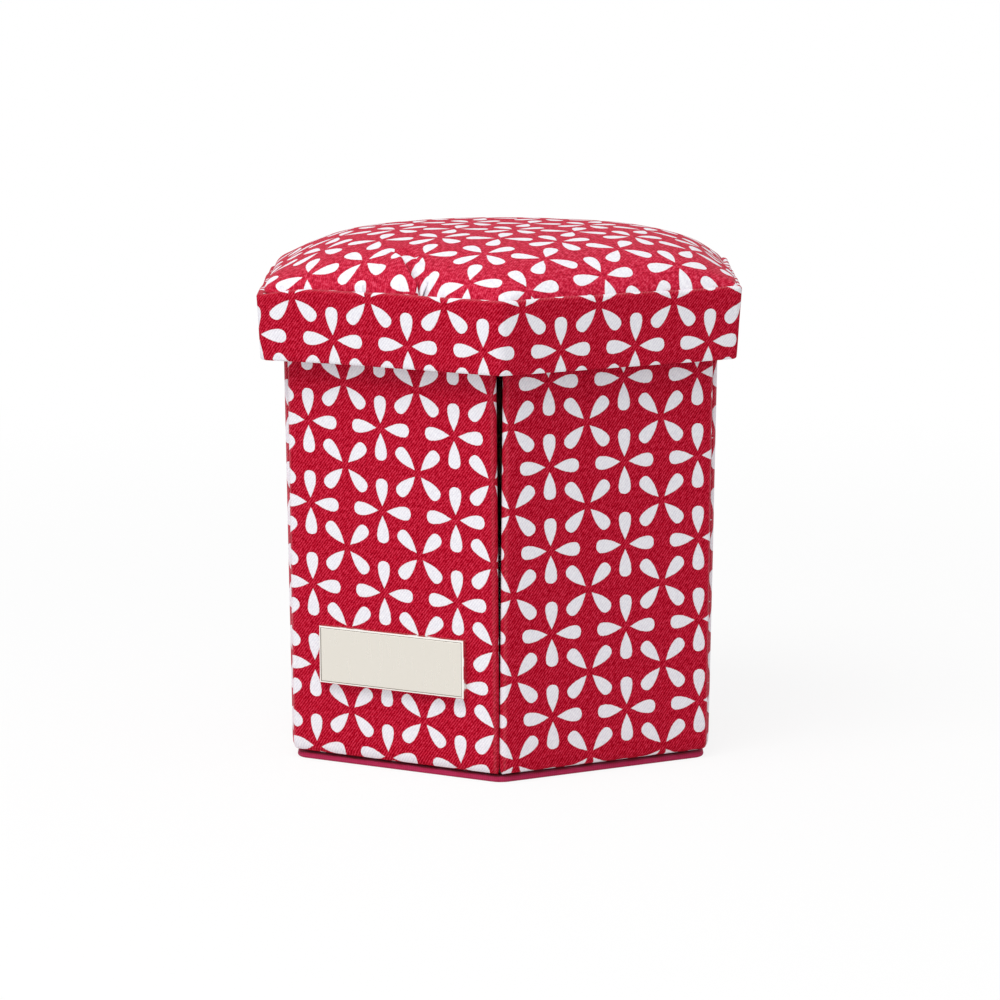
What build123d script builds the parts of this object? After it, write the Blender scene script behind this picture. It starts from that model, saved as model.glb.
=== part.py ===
from build123d import *
import os
from math import cos, pi, radians, sin, tan

# Six-sided fold-out sewing box with a padded lift-off lid and its kit
#
# The walls are cloth-covered boards that stand on the sole, inside the lid's rim. Once the lid is
# lifted, they fold out flat on the cloth hinge along the sole's edge. Lengths are in millimetres,
# +Z is up, and the origin is under the middle of the sole. A corner of the box points along -Y, so
# two walls face +X and -X. A height on a wall counts from the middle of its rolled lower edge.

# General
SIDES = 6
CLOTH = 0.3  # printed cotton, everywhere it is glued on
PLAY = 0.3  # gap between pieces that move on each other
HALF_CORNER = pi / SIDES  # half the angle that one wall takes of the plan
CORNER_FACETS = 4  # flats round each corner of the soft forms
TURNED_FACETS = 36  # flats round the handle and the thimble

# Sole and floor
SOLE_INSET = 1.1  # how far the sole stays inside the walls' outer faces
SOLE_CORNER = 3.6
SOLE_CLOTH = 0.25
SOLE_BOARD = 1.0
SOLE_TURN_IN = 8.0
SOLE_EDGE = 0.4  # bevel that stands for the cloth's turn over the board
HINGE_CLOTH_INSET = 0.8
FLOOR_THICKNESS = 1.3
BASE_BOARD = 2.2

# Walls
WALL_APOTHEM = 48.0  # outer faces, before the walls lean
WALL_THICKNESS = 3.2
WALL_HEIGHT = 92.9
WALL_LEAN = 0.87  # degrees outwards, as the walls stand inside the lid
WALL_GAP = 0.35  # between neighbours at the sole
WALL_LINING = 0.9
LINING_INSET = 0.6
TOP_ROUND = 1.6
SIDE_ROUND = 1.2
WALLS = {  # name: direction that the wall faces, in degrees
    "front_left": 240,
    "front_right": 300,
    "right": 0,
    "back_right": 60,
    "back_left": 120,
    "left": 180,
}

# Name plate, a stamped tray with two prongs, bare
PLATE_WALL = "front_left"
PLATE_WIDTH = 38.2
PLATE_HEIGHT = 13.3
PLATE_DEPTH = 1.5
PLATE_METAL = 0.5
PLATE_BEVEL = 0.35
PLATE_HEIGHT_ON_WALL = 20.3
PRONG_SPACING = 26.0
PRONG_WIDTH = 2.0
PRONG_METAL = 0.5
PRONG_LENGTH = 1.6
PRONG_PLAY = 0.05

# Lid
RIM_ROOM = 2.23  # between the walls' tops and the rim's inner cloth
RIM_FLARE = 1.0
RIM_HEIGHT = 15.4
RIM_OVERLAP = 5.2  # how far the rim reaches down over the walls
RIM_CARD = 1.2
RIM_CORNER = 2.6
RIM_TURN_IN = 2.3
RIM_EDGE = 0.6  # bevel that stands for the cloth's turn over the card
LID_LINING = 4.0
LINING_PLAY = 0.12
CUSHION_BOARD = 2.0
CUSHION_PLAY = 0.25
CUSHION_CORNER = 2.2
CUSHION_SWELL = 1.3  # how far the stuffing stands over the rim
CROWN_HEIGHT = 13.06
CROWN_SINK = 0.9  # how far below the rim's top the crown's outline starts
CROWN_INSET = 0.7  # how far the crown's outline stays inside the rim's outer edge
CROWN_FULLNESS = 3.385  # exponents of the crown's profile
CROWN_EDGE = 1.713
CROWN_SQUARING = 4.39  # how soon the six corners fade into a round top
CROWN_ROUND_SHARE = 1.05
CROWN_STEPS = (0.975, 0.935, 0.88, 0.8, 0.7, 0.56, 0.38, 0.18)  # shares of the crown's apothem

# Spool rack
RACK_APOTHEM = 37.0
RACK_THICKNESS = 2.5
RACK_CORNER = 6.0
RING_RADIUS = 22.0
PEG_RADIUS = 2.2
PEG_HEIGHT = 40.0
HANDLE_RADIUS = 4.5
HANDLE_HEIGHT = 78.0  # over the rack, with its knob
KNOB_RADIUS = 6.5
KNOB_SHOULDER = 2.6  # how far from its ends the knob is drawn in
KNOB_DRAWN_IN = 1.0
KNOB_END = 2.9  # radius of the knob's flat end
HANDLE_FOOT = 2.0

# Reels and thread
REEL_RADIUS = 9.5
REEL_HEIGHT = 42.0
REEL_FLANGE = 2.0
REEL_BARREL = 5.0
REEL_LIFT = 0.2
BORE_PLAY = 0.15
THREAD_RADIUS = 8.4
THREAD_PLAY = 0.1
SPOOLS = {"white": -90, "black": 30, "navy": 150}  # and their directions, in degrees
THIMBLE_DIRECTION = 210

# Thimble, mouth down on its post
THIMBLE_MOUTH = 8.4
THIMBLE_CROWN = 6.9
THIMBLE_HEIGHT = 20.0
THIMBLE_METAL = 0.6
THIMBLE_BEAD = 0.6
THIMBLE_DOME = 2.0
THIMBLE_BEVEL = 0.8  # first step of the domed end
POST_RADIUS = 4.0
POST_HEIGHT = 9.0

# Scissors
SCISSORS_WALL = "left"
PIVOT_HEIGHT_ON_WALL = 44.0
BLADE_THICKNESS = 1.3
BLADE_PLAY = 0.08
BLADE_LENGTH = 34.0
BLADE_WIDTH = 5.6
BLADE_SPINE = 1.96  # from the screw's middle to the blade's straight back
BLADE_HEEL = 4.0  # how far the blade runs up past the screw
BLADE_SHOULDER = 3.0
BLADE_BELLY = 15.3  # how far down the edge stays at the full width
BLADE_TIP = 1.1
SPINE_BEND = 5.0
HUB_RADIUS = 3.7
SCISSORS_LIFT = 0.7
RING_CENTRE_X = 8.3
RING_CENTRE_Z = 31.0
RING_OUTER = 8.0
RING_HOLE = 6.0
SHANK_WIDTH = 3.6
SHANK_FOOT = 1.0
SHANK_WAIST = 1.2
SHANK_BEND = 8.0
SCREW_RADIUS = 1.5
SCREW_HEAD = 2.7
SCREW_HEAD_HEIGHT = 0.9
SCREW_PLAY = 0.05
STRAP_THICKNESS = 0.6
STRAP_WIDTH = 8.0
STRAP_FOOT = 4.0
STRAP_PLAY = 0.4
SCISSORS_STRAP_HALF = 10.0

# Tape measure, rolled up
TAPE_WALL = "right"
TAPE_HEIGHT_ON_WALL = 68.0
TAPE_RADIUS = 15.5
TAPE_HOLE = 3.0
TAPE_WIDTH = 14.0
TAPE_TIP_LENGTH = 9.0
TAPE_TIP_METAL = 0.4

# Needle card
CARD_WALL = "back_left"
CARD_WIDTH = 28.0
CARD_HEIGHT = 46.0
CARD_THICKNESS = 0.8
CARD_HEIGHT_ON_WALL = 66.0
CARD_CORNER = 2.0
NEEDLE_COUNT = 5
NEEDLE_RADIUS = 0.4
NEEDLE_FACETS = 8
NEEDLE_LENGTH = 34.0
NEEDLE_POINT = 5.0
NEEDLE_SPACING = 4.2
BAND_HEIGHT = 6.0

# Levels and places that follow from the sizes above
SOLE_APOTHEM = WALL_APOTHEM - SOLE_INSET
SOLE_THICKNESS = SOLE_BOARD + 2 * SOLE_CLOTH
HINGE_CLOTH_TOP = SOLE_THICKNESS + CLOTH
HINGE_Z = HINGE_CLOTH_TOP - CLOTH / 2
HINGE_APOTHEM = SOLE_APOTHEM
WALL_INSIDE = WALL_APOTHEM - WALL_THICKNESS
ROLL_Z = HINGE_CLOTH_TOP + PLAY + WALL_THICKNESS
FLOOR_APOTHEM = WALL_INSIDE - PLAY
FLOOR_TOP = HINGE_CLOTH_TOP + BASE_BOARD + FLOOR_THICKNESS
WALL_TOP = ROLL_Z + WALL_HEIGHT
CEILING = WALL_TOP + PLAY
WALL_TOP_APOTHEM = WALL_APOTHEM + (WALL_TOP - HINGE_Z) * tan(radians(WALL_LEAN))
RIM_BOTTOM = WALL_TOP - RIM_OVERLAP
RIM_TOP = RIM_BOTTOM + RIM_HEIGHT
RIM_BOTTOM_APOTHEM = WALL_TOP_APOTHEM + RIM_ROOM + 2 * CLOTH + RIM_CARD
RIM_TOP_APOTHEM = RIM_BOTTOM_APOTHEM + RIM_FLARE
CROWN_APOTHEM = RIM_TOP_APOTHEM - CROWN_INSET
CUSHION_BOTTOM = CEILING + LID_LINING
RACK_TOP = FLOOR_TOP + RACK_THICKNESS
BORE_RADIUS = PEG_RADIUS + BORE_PLAY
PLATE_SEAT = WALL_THICKNESS


def hexagon_prism(apothem, bottom, top):
    """A six-sided block with one corner towards -Y."""
    face = RegularPolygon(apothem, SIDES, major_radius=False, rotation=30)
    return extrude(Pos(0, 0, bottom) * face, top - bottom)


def flat_sided(outlines):
    """A solid whose sides are flat faces between closed outlines of as many points, from the bottom up."""
    faces = [Face(Wire.make_polygon(outline)) for outline in (outlines[0], outlines[-1])]
    for low, high in zip(outlines, outlines[1:]):
        for n in range(len(low)):
            faces.append(Face(Wire.make_polygon([low[n - 1], low[n], high[n], high[n - 1]])))
    return Solid(Shell(faces))


def ring_outline(radius, flats, height):
    """The points of an even outline with that many flats, for round pieces too small to need arcs."""
    turns = [2 * pi * n / flats for n in range(flats)]
    return [(radius * cos(turn), radius * sin(turn), height) for turn in turns]


def soft_hexagon(apothem, corner, height):
    """The points of a six-sided outline whose corners are rounded in flats. Each flat keeps its
    direction at every size, so that the faces between two such outlines are flat."""
    step = 2 * HALF_CORNER / (CORNER_FACETS + 1)
    points = []
    for n in range(SIDES * (CORNER_FACETS + 1)):
        reach = []
        for turn in (n * step, (n + 1) * step):
            from_corner = turn % (2 * HALF_CORNER) - HALF_CORNER
            reach.append((apothem - corner) / cos(HALF_CORNER) * cos(from_corner) + corner)
        along = (reach[1] - reach[0] * cos(step)) / sin(step)
        x = reach[0] * cos(n * step) - along * sin(n * step)
        y = reach[0] * sin(n * step) + along * cos(n * step)
        points.append((x, y, height))
    return points


def soft_block(apothem, corner, bottom, top):
    """A six-sided block with rounded corners, one corner towards -Y."""
    return flat_sided([soft_hexagon(apothem, corner, z) for z in (bottom, top)])


def on_wall(shape, wall):
    """Moves a shape from a wall's own frame to its place: X along the wall, Y outwards from its inner
    face, Z up from the middle of its rolled edge. The wall leans about its hinge."""
    leant = Rot(-WALL_LEAN, 0, 0) * Pos(0, WALL_INSIDE - HINGE_APOTHEM, ROLL_Z - HINGE_Z) * shape
    return Rot(0, 0, WALLS[wall] - 90) * Pos(0, HINGE_APOTHEM, HINGE_Z) * leant


# Walls


def wall_side(inset, back):
    """The wall's section across its thickness: a rolled lower edge and a rounded top."""
    roll = WALL_THICKNESS - inset
    top = WALL_HEIGHT - inset
    round_off = TOP_ROUND - inset
    lower_edge = -((roll**2 - back**2) ** 0.5)
    with BuildSketch(Plane.YZ) as section:
        with BuildLine():
            Polyline((back, lower_edge), (back, top), (roll - round_off, top))
            RadiusArc((roll - round_off, top), (roll, top - round_off), round_off)
            Line((roll, top - round_off), (roll, 0))
            RadiusArc((roll, 0), (back, lower_edge), roll)
        make_face()
    return extrude(section.sketch, WALL_APOTHEM, both=True)


def wall_plan(inset):
    """The wall's plan: mitred ends that clear the neighbours, with the outer edges rounded."""
    half_gap = WALL_GAP / 2 + inset / cos(HALF_CORNER)
    outer = WALL_APOTHEM * tan(HALF_CORNER) - half_gap
    inner = WALL_INSIDE * tan(HALF_CORNER) - half_gap
    corners = [(-inner, 0), (inner, 0), (outer, WALL_THICKNESS), (-outer, WALL_THICKNESS)]
    plan = make_face(Polyline(*corners, close=True))
    plan = fillet(plan.vertices().sort_by(Axis.Y)[2:], SIDE_ROUND)
    return extrude(Pos(0, 0, -WALL_THICKNESS) * plan, WALL_THICKNESS + WALL_HEIGHT)


def wall_blank(inset, back=0.0):
    return wall_side(inset, back) & wall_plan(inset)


def plate_prongs(play):
    """The two prongs of the name plate, in the wall's frame, grown by that play on each side."""
    blade = Box(PRONG_METAL + 2 * play, PRONG_LENGTH + play, PRONG_WIDTH + 2 * play)
    middle = WALL_THICKNESS - (PRONG_LENGTH + play) / 2
    return [Pos(side * PRONG_SPACING / 2, middle, PLATE_HEIGHT_ON_WALL) * blade for side in (-1, 1)]


def walls():
    cover = wall_blank(0, WALL_LINING) - wall_blank(CLOTH)
    board = wall_blank(CLOTH, WALL_LINING)
    lining = wall_blank(LINING_INSET) - wall_blank(0, WALL_LINING)
    parts = {}
    for wall in WALLS:
        slots = plate_prongs(PRONG_PLAY) if wall == PLATE_WALL else []
        parts[f"wall_cover_{wall}"] = on_wall(cover.cut(*slots) if slots else cover, wall)
        parts[f"wall_board_{wall}"] = on_wall(board.cut(*slots) if slots else board, wall)
        parts[f"wall_lining_{wall}"] = on_wall(lining, wall)
    return parts


def name_plate():
    """A stamped metal tray, open at the back, with its bare face outwards."""
    tray = extrude(Rectangle(PLATE_WIDTH, PLATE_HEIGHT), PLATE_DEPTH)
    tray = chamfer(tray.faces().sort_by(Axis.Z)[-1].edges(), PLATE_BEVEL)
    hollow = Rectangle(PLATE_WIDTH - 2 * PLATE_METAL, PLATE_HEIGHT - 2 * PLATE_METAL)
    tray -= extrude(hollow, PLATE_DEPTH - PLATE_METAL)
    tray = Pos(0, PLATE_SEAT, PLATE_HEIGHT_ON_WALL) * Rot(-90, 0, 0) * tray
    for side in (-1, 1):
        reach = PRONG_LENGTH + PLATE_DEPTH - PLATE_METAL
        prong = Box(PRONG_METAL, reach, PRONG_WIDTH)
        middle = PLATE_SEAT - PRONG_LENGTH + reach / 2
        tray += Pos(side * PRONG_SPACING / 2, middle, PLATE_HEIGHT_ON_WALL) * prong
    return on_wall(tray, PLATE_WALL)


# Sole and floor


def base():
    outline = [
        (SOLE_EDGE, 0),
        (0, SOLE_EDGE),
        (0, SOLE_THICKNESS - SOLE_EDGE),
        (SOLE_EDGE, SOLE_THICKNESS),
    ]
    sole = flat_sided([soft_hexagon(SOLE_APOTHEM - inset, SOLE_CORNER, z) for inset, z in outline])
    board_top = SOLE_CLOTH + SOLE_BOARD
    board = soft_block(SOLE_APOTHEM - SOLE_EDGE, SOLE_CORNER, SOLE_CLOTH, board_top)
    window = hexagon_prism(SOLE_APOTHEM - SOLE_TURN_IN, board_top, SOLE_THICKNESS)
    base_top = HINGE_CLOTH_TOP + BASE_BOARD
    hinge_apothem = SOLE_APOTHEM - HINGE_CLOTH_INSET
    return {
        "sole_cover": sole - board - window,
        "sole_board": board,
        "hinge_cloth": soft_block(hinge_apothem, SOLE_CORNER, SOLE_THICKNESS, HINGE_CLOTH_TOP),
        "base_board": hexagon_prism(FLOOR_APOTHEM, HINGE_CLOTH_TOP, base_top),
        "floor_lining": hexagon_prism(FLOOR_APOTHEM, base_top, FLOOR_TOP),
    }


# Lid


def rim_apothem(height):
    """The rim's outer apothem at a height: the rim flares upwards."""
    share = (height - RIM_BOTTOM) / RIM_HEIGHT
    return RIM_BOTTOM_APOTHEM + share * (RIM_TOP_APOTHEM - RIM_BOTTOM_APOTHEM)


def rim_block(inset, bottom, top):
    """A six-sided block that follows the rim's flare, that far inside its outer face."""
    corner = max(RIM_CORNER - inset, CLOTH)
    return flat_sided([soft_hexagon(rim_apothem(z) - inset, corner, z) for z in (bottom, top)])


def rim():
    card_inside = CLOTH + RIM_CARD
    outline = [
        (RIM_EDGE, RIM_BOTTOM),
        (0, RIM_BOTTOM + RIM_EDGE),
        (0, RIM_TOP - RIM_EDGE),
        (RIM_EDGE, RIM_TOP),
    ]
    levels = [soft_hexagon(rim_apothem(z) - inset, RIM_CORNER - inset, z) for inset, z in outline]
    outer = flat_sided(levels)
    card_bottom, card_top = RIM_BOTTOM + RIM_EDGE, RIM_TOP - RIM_EDGE
    card = rim_block(CLOTH, card_bottom, card_top) - rim_block(card_inside, card_bottom, card_top)
    mouth = rim_block(card_inside + CLOTH, RIM_BOTTOM, CEILING)
    throat = rim_block(card_inside, CEILING, RIM_TOP - RIM_TURN_IN)
    tray = rim_block(card_inside + CLOTH, RIM_TOP - RIM_TURN_IN, RIM_TOP)
    return {"lid_rim_cover": outer - card - mouth - throat - tray, "lid_rim_card": card}


def cushion_side(inset):
    """Apothem of the cushion's straight sides, that far inside its cloth."""
    narrowest = min(rim_apothem(CUSHION_BOTTOM), rim_apothem(RIM_TOP))
    return narrowest - 2 * CLOTH - RIM_CARD - CUSHION_PLAY - inset


def crown(inset):
    """The padded top: straight sides inside the rim, a swelling over it, and a crown that goes round."""
    side = cushion_side(inset)
    swell_corner = CUSHION_CORNER + CUSHION_SWELL
    swell_height = RIM_TOP + CUSHION_SWELL - inset / 2
    outlines = [
        soft_hexagon(side, CUSHION_CORNER, CUSHION_BOTTOM),
        soft_hexagon(side, CUSHION_CORNER, RIM_TOP),
        soft_hexagon(side + CUSHION_SWELL, swell_corner, swell_height),
    ]
    for share in CROWN_STEPS:
        squareness = share**CROWN_SQUARING  # 1 is a true hexagon, 0 is round
        flat = share * (squareness + (1 - squareness) * CROWN_ROUND_SHARE)
        tip = share * (squareness / cos(HALF_CORNER) + (1 - squareness) * CROWN_ROUND_SHARE)
        roundness = (flat / cos(HALF_CORNER) - tip) / (1 / cos(HALF_CORNER) - 1)
        rise = CROWN_HEIGHT * (1 - share**CROWN_FULLNESS) ** (1 / CROWN_EDGE)
        corner = max(CROWN_APOTHEM * roundness - inset, swell_corner)
        height = RIM_TOP - CROWN_SINK - inset + rise
        outlines.append(soft_hexagon(CROWN_APOTHEM * flat - inset, corner, height))
    return flat_sided(outlines)


def lid():
    pillow = crown(0)
    inside = crown(CLOTH)
    board_top = CUSHION_BOTTOM + CUSHION_BOARD
    board = soft_block(cushion_side(CLOTH), CUSHION_CORNER, CUSHION_BOTTOM, board_top)
    narrowest = min(rim_apothem(CEILING), rim_apothem(CUSHION_BOTTOM))
    lining_apothem = narrowest - CLOTH - RIM_CARD - LINING_PLAY
    parts = rim()
    parts["lid_lining"] = soft_block(lining_apothem, CUSHION_CORNER, CEILING, CUSHION_BOTTOM)
    parts["cushion_board"] = board
    parts["cushion_filling"] = inside - board
    parts["cushion_cover"] = pillow - inside
    return parts


# Rack, reels and thimble


def ring_place(direction):
    return Rot(0, 0, direction) * Pos(RING_RADIUS, 0, RACK_TOP)


def spool_rack():
    """The board, its pegs and post, and the turned handle that lifts it out."""
    board = soft_block(RACK_APOTHEM, RACK_CORNER, FLOOR_TOP, RACK_TOP)
    on_base = (Align.CENTER, Align.CENTER, Align.MIN)
    pegs = [ring_place(turn) * Cylinder(PEG_RADIUS, PEG_HEIGHT, align=on_base) for turn in SPOOLS.values()]
    pegs.append(ring_place(THIMBLE_DIRECTION) * Cylinder(POST_RADIUS, POST_HEIGHT, align=on_base))
    knob_bottom = HANDLE_HEIGHT - 2 * KNOB_RADIUS
    outline = [
        (HANDLE_RADIUS + HANDLE_FOOT, 0),
        (HANDLE_RADIUS + HANDLE_FOOT, HANDLE_FOOT / 2),
        (HANDLE_RADIUS, 2 * HANDLE_FOOT),
        (HANDLE_RADIUS, knob_bottom),
        (KNOB_RADIUS - KNOB_DRAWN_IN, knob_bottom + KNOB_SHOULDER),
        (KNOB_RADIUS, knob_bottom + KNOB_RADIUS),
        (KNOB_RADIUS - KNOB_DRAWN_IN, HANDLE_HEIGHT - KNOB_SHOULDER),
        (KNOB_END, HANDLE_HEIGHT),
    ]
    handle = flat_sided([ring_outline(radius, TURNED_FACETS, z) for radius, z in outline])
    return {
        "rack_board": board,
        "rack_pegs": Compound(children=pegs),
        "rack_handle": Pos(0, 0, RACK_TOP) * handle,
    }


def turned(points):
    """A solid turned about Z from the outline of its half section."""
    return revolve(make_face(Plane.XZ * Polyline(*points, close=True)), Axis.Z)


def spools():
    top = REEL_HEIGHT
    reel = turned(
        [
            (BORE_RADIUS, 0),
            (REEL_RADIUS, 0),
            (REEL_RADIUS, REEL_FLANGE),
            (REEL_BARREL, REEL_FLANGE),
            (REEL_BARREL, top - REEL_FLANGE),
            (REEL_RADIUS, top - REEL_FLANGE),
            (REEL_RADIUS, top),
            (BORE_RADIUS, top),
        ]
    )
    low, high = REEL_FLANGE + THREAD_PLAY, top - REEL_FLANGE - THREAD_PLAY
    thread = turned([(REEL_BARREL, low), (THREAD_RADIUS, low), (THREAD_RADIUS, high), (REEL_BARREL, high)])
    parts = {}
    for colour, direction in SPOOLS.items():
        place = ring_place(direction) * Pos(0, 0, REEL_LIFT)
        parts[f"reel_{colour}"] = place * reel
        parts[f"thread_{colour}"] = place * thread
    return parts


def thimble():
    """A tapering cup of even metal, with a beaded mouth and a domed end."""
    shoulder = THIMBLE_HEIGHT - THIMBLE_DOME
    outside = [
        (THIMBLE_MOUTH + THIMBLE_BEAD, 0),
        (THIMBLE_MOUTH + THIMBLE_BEAD, THIMBLE_BEAD),
        (THIMBLE_MOUTH, 2 * THIMBLE_BEAD),
        (THIMBLE_CROWN, shoulder),
        (THIMBLE_CROWN - THIMBLE_BEVEL, THIMBLE_HEIGHT - THIMBLE_BEVEL),
        (THIMBLE_CROWN - THIMBLE_DOME, THIMBLE_HEIGHT),
    ]
    inside = [
        (THIMBLE_MOUTH - THIMBLE_METAL, 0),
        (THIMBLE_CROWN - THIMBLE_METAL, shoulder - THIMBLE_METAL),
        (THIMBLE_CROWN - THIMBLE_DOME, THIMBLE_HEIGHT - THIMBLE_METAL),
    ]
    cup, hollow = (
        flat_sided([ring_outline(radius, TURNED_FACETS, z) for radius, z in outline])
        for outline in (outside, inside)
    )
    return ring_place(THIMBLE_DIRECTION) * (cup - hollow)


# Scissors


def strap(half_width, depth, width, height):
    """An elastic strap that bridges a tool: two feet on the lining and a flat arch, in the wall's frame."""
    t = STRAP_THICKNESS
    outline = [
        (-half_width - STRAP_FOOT, 0),
        (-half_width, 0),
        (-half_width, -depth),
        (half_width, -depth),
        (half_width, 0),
        (half_width + STRAP_FOOT, 0),
        (half_width + STRAP_FOOT, -t),
        (half_width + t, -t),
        (half_width + t, -depth - t),
        (-half_width - t, -depth - t),
        (-half_width - t, -t),
        (-half_width - STRAP_FOOT, -t),
    ]
    band = extrude(make_face(Polyline(*outline, close=True)), width)
    return Pos(0, 0, height - width / 2) * band


def scissor_half():
    """One half, pivot at the origin: blade down on the -X side, ring up on the +X side, 0 to +Y thick."""
    hip = BLADE_WIDTH / 2
    blade = Polyline(
        (BLADE_SPINE, BLADE_HEEL),
        (-hip, BLADE_SHOULDER),
        (-hip, -BLADE_BELLY),
        (-BLADE_TIP / 2, -BLADE_LENGTH),
        (BLADE_TIP / 2, -BLADE_LENGTH),
        (BLADE_SPINE, -SPINE_BEND),
        close=True,
    )
    shank = Polyline(
        (-SHANK_WIDTH / 2, -SHANK_FOOT),
        (SHANK_WIDTH / 2, -SHANK_FOOT),
        (RING_CENTRE_X - RING_OUTER * 0.35, RING_CENTRE_Z - RING_OUTER * 0.8),
        (RING_CENTRE_X - RING_OUTER * 0.9, RING_CENTRE_Z - RING_OUTER * 0.2),
        (-SHANK_WAIST, SHANK_BEND),
        close=True,
    )
    face = make_face(blade) + make_face(shank) + Circle(HUB_RADIUS)
    face += Pos(RING_CENTRE_X, RING_CENTRE_Z) * Circle(RING_OUTER)
    face -= Pos(RING_CENTRE_X, RING_CENTRE_Z) * Circle(RING_HOLE)
    face -= Circle(SCREW_RADIUS + SCREW_PLAY)
    return Pos(0, BLADE_THICKNESS, 0) * Rot(90, 0, 0) * extrude(face, BLADE_THICKNESS)


def scissors():
    near = -SCISSORS_LIFT - BLADE_THICKNESS
    far = near - BLADE_PLAY - BLADE_THICKNESS
    head_seat = far - BLADE_PLAY
    pivot = Pos(0, 0, PIVOT_HEIGHT_ON_WALL)
    shaft_length = -head_seat
    shaft = Pos(0, -shaft_length / 2, 0) * Rot(90, 0, 0) * Cylinder(SCREW_RADIUS, shaft_length)
    head_middle = head_seat - SCREW_HEAD_HEIGHT / 2
    head = Pos(0, head_middle, 0) * Rot(90, 0, 0) * Cylinder(SCREW_HEAD, SCREW_HEAD_HEIGHT)
    depth = -head_seat + SCREW_HEAD_HEIGHT + STRAP_PLAY
    other_half = mirror(scissor_half(), Plane.YZ)
    return {
        "scissors_half_a": on_wall(pivot * Pos(0, near, 0) * scissor_half(), SCISSORS_WALL),
        "scissors_half_b": on_wall(pivot * Pos(0, far, 0) * other_half, SCISSORS_WALL),
        "scissors_screw": on_wall(pivot * (shaft + head), SCISSORS_WALL),
        "scissors_strap": on_wall(
            strap(SCISSORS_STRAP_HALF, depth, STRAP_WIDTH, PIVOT_HEIGHT_ON_WALL), SCISSORS_WALL
        ),
    }


# Tape measure and needle card


def tape_measure():
    roll = Cylinder(TAPE_RADIUS, TAPE_WIDTH) - Cylinder(TAPE_HOLE, TAPE_WIDTH)
    middle = -STRAP_PLAY - TAPE_WIDTH / 2
    roll = Pos(0, middle, TAPE_HEIGHT_ON_WALL) * Rot(90, 0, 0) * roll
    tip = Box(TAPE_TIP_LENGTH, TAPE_WIDTH, TAPE_TIP_METAL)
    tip = Pos(0, middle, TAPE_HEIGHT_ON_WALL + TAPE_RADIUS + TAPE_TIP_METAL / 2) * tip
    depth = TAPE_WIDTH + 2 * STRAP_PLAY
    half_width = TAPE_RADIUS + STRAP_PLAY
    return {
        "tape_roll": on_wall(roll, TAPE_WALL),
        "tape_tip": on_wall(tip, TAPE_WALL),
        "tape_strap": on_wall(strap(half_width, depth, STRAP_WIDTH, TAPE_HEIGHT_ON_WALL), TAPE_WALL),
    }


def needle():
    """A shank with flats, small as it is, and a point."""
    tip = NEEDLE_LENGTH + NEEDLE_POINT
    ends = [(NEEDLE_RADIUS, 0), (NEEDLE_RADIUS, NEEDLE_LENGTH), (NEEDLE_RADIUS / 5, tip)]
    return flat_sided([ring_outline(radius, NEEDLE_FACETS, z) for radius, z in ends])


def needle_card():
    face = Rectangle(CARD_WIDTH, CARD_HEIGHT)
    face = chamfer(face.vertices(), CARD_CORNER)
    card = Pos(0, 0, CARD_HEIGHT_ON_WALL) * Rot(90, 0, 0) * extrude(face, CARD_THICKNESS)
    first = -NEEDLE_SPACING * (NEEDLE_COUNT - 1) / 2
    foot = CARD_HEIGHT_ON_WALL - (NEEDLE_LENGTH + NEEDLE_POINT) / 2
    needles = [
        Pos(first + n * NEEDLE_SPACING, -CARD_THICKNESS - NEEDLE_RADIUS, foot) * needle()
        for n in range(NEEDLE_COUNT)
    ]
    depth = CARD_THICKNESS + 2 * NEEDLE_RADIUS + STRAP_PLAY
    band = strap(CARD_WIDTH / 2 + STRAP_PLAY, depth, BAND_HEIGHT, CARD_HEIGHT_ON_WALL - CARD_HEIGHT / 4)
    return {
        "needle_card": on_wall(card, CARD_WALL),
        "needles": on_wall(Compound(children=needles), CARD_WALL),
        "needle_band": on_wall(band, CARD_WALL),
    }


def build():
    parts = {}
    parts.update(base())
    parts.update(walls())
    parts["name_plate"] = name_plate()
    parts.update(lid())
    parts.update(spool_rack())
    parts.update(spools())
    parts["thimble"] = thimble()
    parts.update(scissors())
    parts.update(tape_measure())
    parts.update(needle_card())
    return parts


os.makedirs("parts", exist_ok=True)
for node, shape in build().items():
    export_step(shape, f"parts/{node}.step")
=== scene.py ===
from math import atan2, copysign, cos, degrees, dist, exp, hypot, pi, radians, sin, sqrt, tan

import bmesh
import bpy
from mathutils import Matrix, Vector, noise


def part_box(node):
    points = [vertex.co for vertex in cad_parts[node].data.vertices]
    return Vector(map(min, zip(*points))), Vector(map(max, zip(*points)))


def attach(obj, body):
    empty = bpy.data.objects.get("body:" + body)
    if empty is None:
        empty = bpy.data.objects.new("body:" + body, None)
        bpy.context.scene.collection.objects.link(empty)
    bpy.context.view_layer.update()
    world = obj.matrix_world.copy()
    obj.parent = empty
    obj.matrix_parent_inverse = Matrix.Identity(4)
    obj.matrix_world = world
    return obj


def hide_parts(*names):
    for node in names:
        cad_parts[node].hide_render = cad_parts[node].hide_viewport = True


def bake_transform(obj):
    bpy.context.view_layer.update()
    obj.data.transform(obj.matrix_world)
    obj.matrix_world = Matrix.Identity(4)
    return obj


# Six-sided fold-out sewing box in printed cotton, with its padded lid and its kit
#
# Shapes are worked out in millimetres and turned to metres when a piece is finished. A wall's own
# frame has X along the wall, Y outwards from its inner face and Z up from the middle of its rolled
# lower edge. The print's own map counts in steps of its lattice.

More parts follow.
